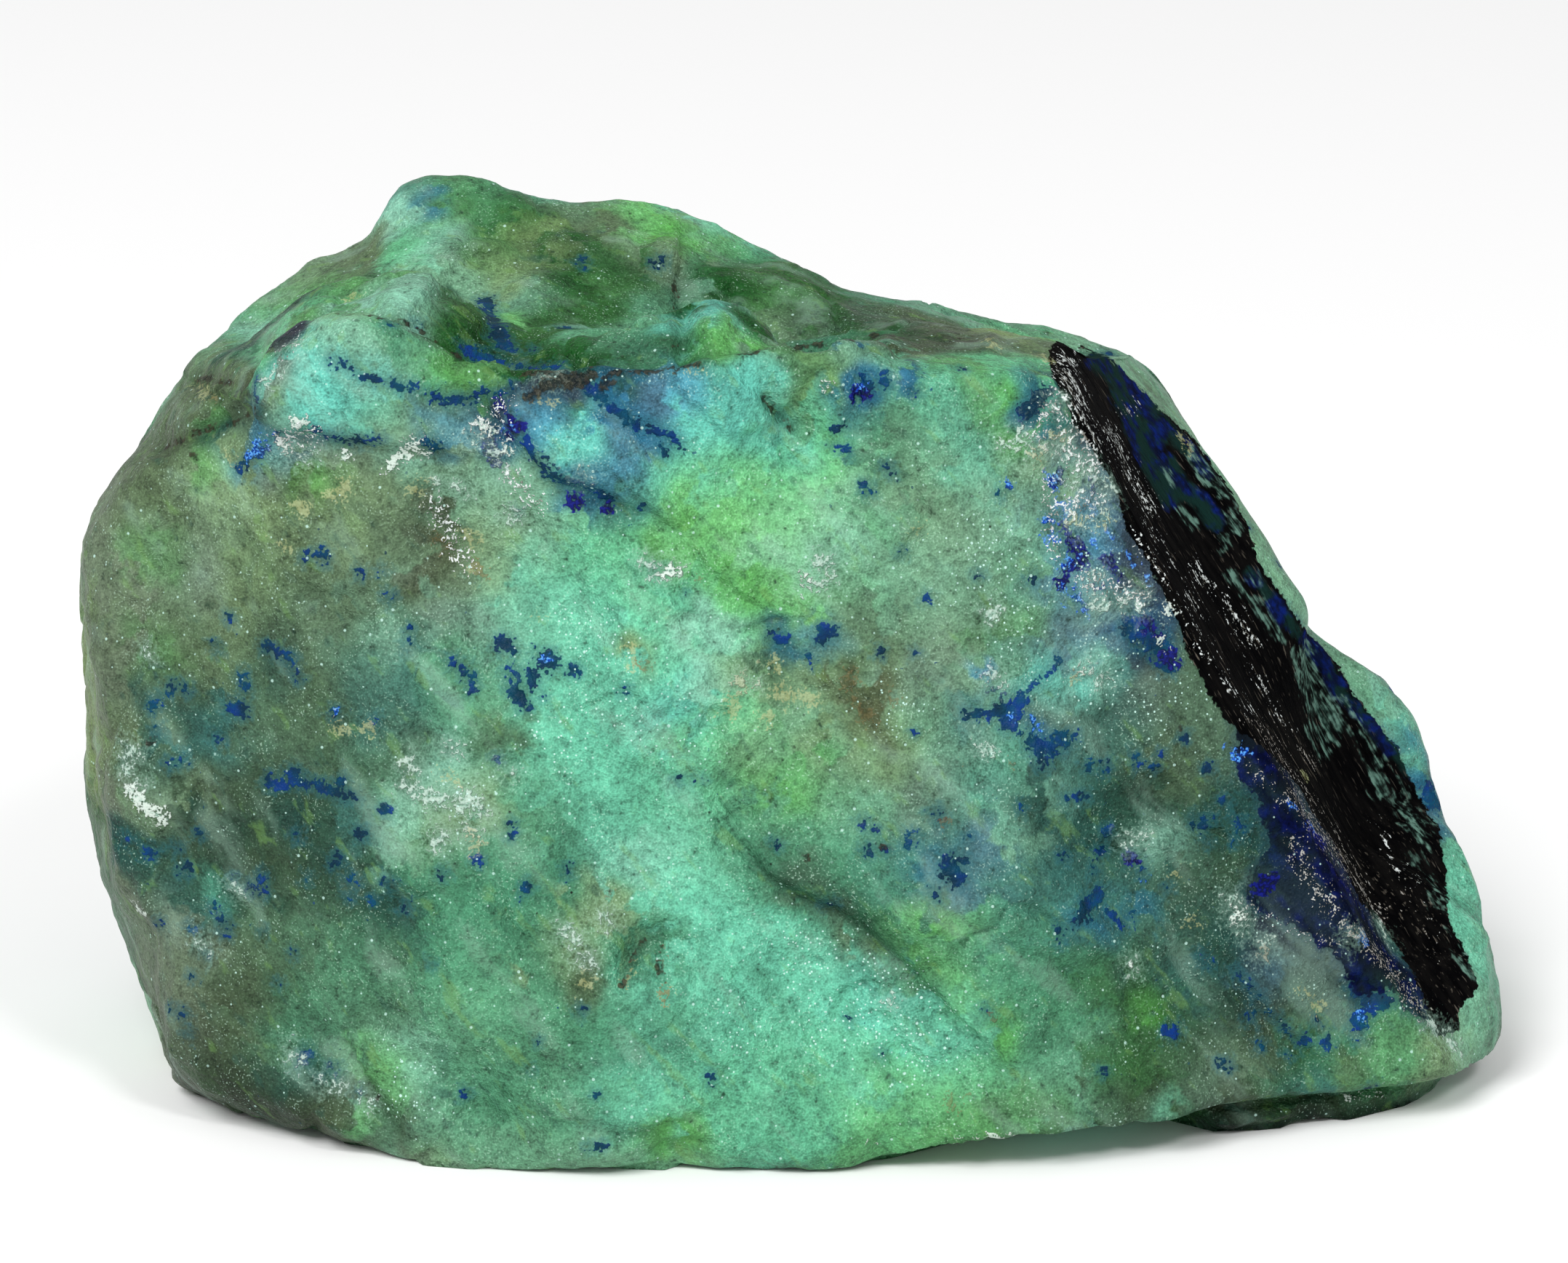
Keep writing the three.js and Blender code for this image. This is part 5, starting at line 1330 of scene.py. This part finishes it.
def azurite_veins(colour, grains):
    """Azurite in and under the skin: a teal haze round it, crisp ragged blue, and specks strewn beside it."""
    azurite = attribute("azurite") + grains.blend(small=0.21, fine=0.16) - 0.03
    colour = stain(colour, azurite.ramp(-0.5, 0.08, 0.0, 0.46), "azurite haze")
    blue = azurite.ramp(0.0, 0.10) * grains.blend(fine=1, small=1).ramp(-2.2, -0.6, 0.5, 1.0)
    specks = grain(grains.place, 0.42, 2, 0.6).ramp(1.25, 1.4)
    specks = specks * grain(grains.place, 6.0, 1, 0.9).ramp(0.1, 0.9)
    strewn = grains.blend(fine=0.7, small=0.5).ramp(1.15, 1.35) * azurite.ramp(-1.9, -0.3)
    blue = blue.maths("MAXIMUM", specks * 0.7).maths("MAXIMUM", strewn * 0.8)
    blue_tone = tones(grain(grains.place, 0.9, 2, 0.7).ramp(-0.6, 0.8), "sea azurite", "azurite")
    blue_tone = mix(grains.middle.ramp(-0.8, 0.8), tone("teal azurite"), blue_tone)
    return mix(blue * 0.97, colour, blue_tone), blue


def navy_band(colour, grains):
    """The band of near-black azurite beside the slab, with a haze round it."""
    navy = attribute("navy") + grains.blend(middle=0.2, ragged=1.3)
    colour = stain(colour, navy.ramp(-0.6, 0.0, 0.0, 0.4), "navy haze")
    band = navy.ramp(-0.04, 0.14) * grains.bands.ramp(-1.1, 0.2, 0.55, 1.0)
    navy_tone = tones(grains.small.ramp(-0.6, 1.2), "midnight", "navy")
    return mix(band, colour, mix(grains.middle.ramp(-0.7, 0.5), tone("soot"), navy_tone)), band


def blue_grains(colour, grains):
    """Deep violet azurite, and bright light-blue grains."""
    violet = (attribute("violet") + grains.ragged * 1.4).ramp(0.0, 0.16)
    violet_tone = tones(grains.fine.ramp(-0.6, 0.8), "ink", "violet")
    colour = mix(violet * grains.fine.ramp(-1.3, -0.2, 0.4, 1.0), colour, violet_tone)
    bright = (attribute("bright_blue") + grains.ragged * 1.6).ramp(0.0, 0.18)
    bright_tone = tones(grains.dust.ramp(-0.5, 1.0), "bright blue", "sky blue")
    return mix(bright * grains.blend(fine=1, dust=1).ramp(-0.6, 0.5, 0.2, 1.0), colour, bright_tone)


def black_slab(colour, grains):
    """The slab's black coat, the hairs down its slope, and its blue and pale green places."""
    ragged = grains.blend(middle=0.18, small=0.26, fibre=0.20, fine=0.16)
    slab = (attribute("slab") + ragged).ramp(-0.08, 0.14)
    coat = tones(grains.fibre.ramp(-0.8, 1.4), "black", "fibre")
    hairs = grains.blend(thread=0.6, hair=0.7).ramp(0.5, 1.2) * grains.bands.ramp(-0.8, 0.7, 0.25, 1.0)
    coat = stain(coat, hairs * 0.7, "hair")
    blue = attribute("slab_blue") + grains.blend(fibre=0.12, middle=0.12, small=0.06)
    blue_tone = tones(grains.small.ramp(-0.5, 0.9), "slab navy", "slab blue")
    blue_tone = mix(grains.middle.ramp(-0.3, 0.4), tone("slab teal"), blue_tone)
    coat = mix(blue.ramp(-0.16, 0.14) * grains.thread.ramp(-1.5, -0.2, 0.3, 0.95), coat, blue_tone)
    pale = attribute("slab_pale") + grains.blend(fibre=0.24, small=0.16, middle=0.14, thread=0.12)
    broken = grains.blend(fibre=0.7, thread=0.8, small=0.5).ramp(-0.7, 0.8, 0.05, 0.85)
    pale_tone = tones(grains.blend(small=1, thread=1).ramp(-1.0, 1.2), "slab green", "slab pale")
    coat = mix(pale.ramp(-0.08, 0.34) * broken, coat, pale_tone)
    return mix(slab, colour, coat), slab


def crusts(colour, grains):
    """Crusts on top of everything: dense in the middle, with scattered grains round them."""
    spread = attribute("crust") + grains.scatter
    crust = spread.ramp(-0.05, 0.35)
    white = (attribute("white") + grains.blend(small=0.20, fine=0.20, dust=0.10) - 0.03).ramp(-0.03, 0.14)
    ochre = (attribute("ochre") + grains.scatter).ramp(-0.05, 0.3)
    rust = (attribute("rust") + grains.scatter * 0.8).ramp(0.0, 0.2)
    dark = (attribute("dark_crust") + grains.blend(small=0.16, fine=0.09)).ramp(-0.04, 0.14)
    colour = stain(colour, spread.ramp(-0.7, 0.1, 0.0, 0.26), "crust haze")
    colour = mix(crust * 0.8, colour, tones(grains.fine.ramp(-0.9, 0.8), "grey crust", "pale crust"))
    colour = mix(white * 0.82, colour, tones(grains.fine.ramp(-1.1, 0.3), "milk", "white"))
    ochre_tone = tones(grains.blend(small=1, fine=0.5).ramp(-1.1, 1.1), "ochre", "cream")
    colour = mix(ochre * 0.56, colour, ochre_tone)
    colour = mix(rust * 0.56, colour, tones(grains.fine.ramp(-0.6, 0.8), "rust", "tan"))
    colour = mix(dark * 0.88, colour, tones(grains.fine.ramp(-0.5, 0.9), "dark crust", "brown crust"))
    return stain(colour, attribute("grain").ramp(-0.02, 0.06), "grain"), crust, white


def salt_grains(colour, grains, slab, navy):
    """Grains like salt, which lie along the fibres on the slab and are brown to tan on the navy band."""
    salt = attribute("salt").ramp(-0.5, 0.5)
    on_rock = grains.blend(fine=0.75, small=0.25, dust=0.75)
    on_slab = grains.blend(thread=0.8, fine=0.6, dust=0.3)
    flakes = on_rock * (1 - slab) + on_slab * slab
    grained = (flakes + salt * 1.25).ramp(1.3, 1.7) * salt.ramp(0.0, 0.1)
    salt_tone = tones(grains.blend(small=1, fine=1).ramp(-0.9, 1.1), "grey salt", "salt")
    salt_tone = mix(navy * 0.8, salt_tone, tones(grains.dust.ramp(-0.8, 1.2), "brown salt", "tan salt"))
    return mix(grained * 0.88, colour, salt_tone), grained


def painted_glints(colour, grains, slab):
    """Painted glints: pale specks in the colour for tiny faces catching the light, thickest in the clusters.
    """
    painted_glitter = (attribute("painted_glitter") + grains.blend(middle=0.5, small=0.3)).ramp(-1.6, 1.2)
    close = sparks(grains.place, 0.24, 0.06, 0.08 + painted_glitter * 0.92)
    painted_glint = close.maths("MAXIMUM", sparks(grains.place, 0.55, 0.09, 0.18 + painted_glitter * 0.4)) * (1 - slab)
    return stain(colour, painted_glint * (0.62 + painted_glitter * 0.3), "painted_glint"), painted_glint


def principled(colour, roughness, gloss, normal=None):
    inputs = {"Base Color": colour, "Roughness": roughness, "Specular IOR Level": gloss}
    if normal is not None:
        inputs["Normal"] = normal
    return Wire.make("ShaderNodeBsdfPrincipled", inputs=inputs)


def finish_surface(surface):
    output = Wire.tree.nodes.new("ShaderNodeOutputMaterial")
    Wire.tree.links.new(surface.socket, output.inputs["Surface"])


def stone_surface(settings):
    """The whole skin: rock, azurite, the black slab, crusts, salt and painted glints, one over the other."""
    grains = shared_grains()
    colour, azurite = azurite_veins(rock(grains), grains)
    colour, navy = navy_band(colour, grains)
    colour, slab = black_slab(blue_grains(colour, grains), grains)
    colour, crust, white = crusts(colour, grains)
    colour, salt = salt_grains(colour, grains, slab, navy)
    # pale specks painted into the colour as highlights; they also make the skin less rough
    colour, painted_glint = painted_glints(colour, grains, slab)
    colour = brighten(colour, settings.brightness)

    height = grains.blend(middle=0.07, bands=0.06, small=0.040, fine=0.020, dust=0.008)
    height = height + crust * 0.05 + white * 0.07 + azurite * 0.02 + salt * 0.03
    height = height * (1 - slab * 0.7) + grains.blend(fibre=0.045, thread=0.03) * slab
    bump = {"Strength": settings.grain_relief, "Distance": MILLIMETRE, "Height": height}
    normal = Wire.make("ShaderNodeBump", inputs=bump)
    roughness = WAXY_ROUGHNESS + grains.small * 0.05 + crust * 0.2 - painted_glint * 0.15
    waxy = principled(colour, roughness, settings.gloss, normal)
    dull = principled(colour, DULL_ROUGHNESS, settings.slab_gloss, normal)
    dull_places = slab.maths("MAXIMUM", navy)
    finish_surface(Wire.make("ShaderNodeMixShader", inputs={0: dull_places, 1: waxy, 2: dull}))


def new_material(name):
    """An empty material, whose nodes the next wires are added to."""
    material = bpy.data.materials.new(name)
    material.use_nodes = True
    material.node_tree.nodes.clear()
    Wire.tree = material.node_tree
    return material


# ---- The add-on ----
class StoneSettings(bpy.types.PropertyGroup):
    """What a user would change about the stone."""

    relief: bpy.props.FloatProperty(
        name="Relief",
        description="How strongly steps, grooves and broken grain stand out",
        default=1.0,
        min=0,
        max=2,
        subtype="FACTOR",
    )
    grain_relief: bpy.props.FloatProperty(
        name="Grain",
        description="How strongly the fine grain catches the light",
        default=0.9,
        min=0,
        max=1,
        subtype="FACTOR",
    )
    gloss: bpy.props.FloatProperty(
        name="Gloss",
        description="How strongly the waxy skin reflects",
        default=0.1,
        min=0,
        max=1,
        subtype="FACTOR",
    )
    slab_gloss: bpy.props.FloatProperty(
        name="Slab gloss",
        description="How strongly the black slab and the navy beside it reflect",
        default=0.01,
        min=0,
        max=1,
        subtype="FACTOR",
    )
    brightness: bpy.props.FloatProperty(
        name="Brightness",
        description="How bright the minerals' own colours are",
        default=0.84,
        min=0,
        max=1,
        subtype="FACTOR",
    )


class StudioSettings(bpy.types.PropertyGroup):
    """What a user would change about the studio."""

    table_colour: bpy.props.FloatVectorProperty(
        name="Table",
        description="Colour of the table",
        default=(0.93, 0.93, 0.93),
        size=3,
        min=0,
        max=1,
        subtype="COLOR",
    )
    table_width: bpy.props.FloatProperty(
        name="Table width",
        description="Width of the square table",
        default=6.0,
        min=0.5,
        unit="LENGTH",
    )
    sky_light: bpy.props.FloatProperty(
        name="Soft light",
        description="Strength of the light from all round",
        default=0.55,
        min=0,
    )
    lamp_power: bpy.props.FloatProperty(
        name="Lamp",
        description="Power of the large lamp in front, above and to the left",
        default=7.2,
        min=0,
        unit="POWER",
    )


def stone_shape(relief):
    """A refined copy of the solid with its relief, in millimetres."""
    shape = bmesh.new()
    shape.from_mesh(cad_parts["stone"].data)
    bmesh.ops.scale(shape, vec=Vector((1, 1, 1)) / MILLIMETRE, verts=shape.verts)
    bmesh.ops.remove_doubles(shape, verts=shape.verts, dist=DOUBLES)
    cut_finer(shape)
    round_facets(shape)
    raise_relief(shape, relief)
    bmesh.ops.recalc_face_normals(shape, faces=shape.faces)
    for face in shape.faces:
        face.smooth = True
    return shape


def add_object(name, data):
    thing = bpy.data.objects.new(name, data)
    bpy.context.scene.collection.objects.link(thing)
    return thing


def finish_mesh(name, shape, material):
    """A bmesh as a mesh of one material."""
    mesh = bpy.data.meshes.new(name)
    shape.to_mesh(mesh)
    shape.free()
    mesh.materials.append(material)
    return mesh


class SPECIMEN_OT_stone(bpy.types.Operator):
    """Make the stone: a refined copy of the solid with its relief, its minerals and its surface"""

    bl_idname = "specimen.stone"
    bl_label = "Make the stone"
    bl_options = {"REGISTER", "UNDO"}

    def execute(self, context):
        settings = context.scene.specimen_stone
        shape = stone_shape(settings.relief)
        points = np.array([v.co for v in shape.verts])
        bmesh.ops.scale(shape, vec=Vector((1, 1, 1)) * MILLIMETRE, verts=shape.verts)
        material = new_material("azurite malachite")
        stone_surface(settings)
        mesh = finish_mesh("specimen", shape, material)
        paint_minerals(mesh, points)
        stone = add_object("specimen", mesh)
        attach(stone, "root")
        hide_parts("stone")
        return {"FINISHED"}


def add_lamp(name, place, size, power):
    """A square lamp at a place in metres, turned to the stone."""
    light = bpy.data.lights.new(name, "AREA")
    light.size = size
    light.energy = power
    lamp = add_object(name, light)
    lamp.location = place
    lamp.rotation_euler = (AIM * MILLIMETRE - Vector(place)).to_track_quat("-Z", "Y").to_euler()


def add_camera():
    view = bpy.data.cameras.new("camera")
    view.lens = LENS
    view.sensor_width = SENSOR
    view.clip_end = FARTHEST_SEEN
    camera = add_object("camera", view)
    camera.location = EYE * MILLIMETRE
    camera.rotation_euler = (-TO_EYE).to_track_quat("-Z", "Y").to_euler()
    bpy.context.scene.camera = camera


class SPECIMEN_OT_stage(bpy.types.Operator):
    """Set the stage: a plain pale table, soft light and the camera"""

    bl_idname = "specimen.stage"
    bl_label = "Set the stage"
    bl_options = {"REGISTER", "UNDO"}

    def execute(self, context):
        settings = context.scene.specimen_studio
        sheet = bmesh.new()
        bmesh.ops.create_grid(sheet, x_segments=1, y_segments=1, size=settings.table_width / 2)
        material = new_material("table")
        finish_surface(principled((*settings.table_colour, 1), TABLE_ROUGHNESS, TABLE_GLOSS))
        table = add_object("table", finish_mesh("table", sheet, material))

        world = bpy.data.worlds.new("studio")
        world.use_nodes = True
        backdrop = world.node_tree.nodes["Background"]
        backdrop.inputs["Color"].default_value = (1, 1, 1, 1)
        backdrop.inputs["Strength"].default_value = settings.sky_light
        context.scene.world = world
        context.scene.view_settings.view_transform = "Standard"
        add_lamp("main lamp", MAIN_LAMP, MAIN_LAMP_SIZE, settings.lamp_power)
        add_lamp("small lamp", SMALL_LAMP, SMALL_LAMP_SIZE, settings.lamp_power * SMALL_LAMP_SHARE)
        add_camera()
        return {"FINISHED"}


class SPECIMEN_PT_panel(bpy.types.Panel):
    """Lists what the add-on makes"""

    bl_idname = "SPECIMEN_PT_panel"
    bl_label = "Azurite malachite specimen"
    bl_space_type = "VIEW_3D"
    bl_region_type = "UI"
    bl_category = "Specimen"

    def draw(self, context):
        column = self.layout.column()
        for settings in (context.scene.specimen_stone, context.scene.specimen_studio):
            for name in settings.__annotations__:
                column.prop(settings, name)
        column.operator("specimen.stone")
        column.operator("specimen.stage")


CLASSES = (StoneSettings, StudioSettings, SPECIMEN_OT_stone, SPECIMEN_OT_stage, SPECIMEN_PT_panel)


def register():
    for cls in CLASSES:
        bpy.utils.register_class(cls)
    bpy.types.Scene.specimen_stone = bpy.props.PointerProperty(type=StoneSettings)
    bpy.types.Scene.specimen_studio = bpy.props.PointerProperty(type=StudioSettings)


def unregister():
    del bpy.types.Scene.specimen_stone
    del bpy.types.Scene.specimen_studio
    for cls in reversed(CLASSES):
        bpy.utils.unregister_class(cls)


def main():
    """Makes the whole scene."""
    register()
    bpy.ops.specimen.stone()
    bpy.ops.specimen.stage()


if __name__ == "__main__":
    main()
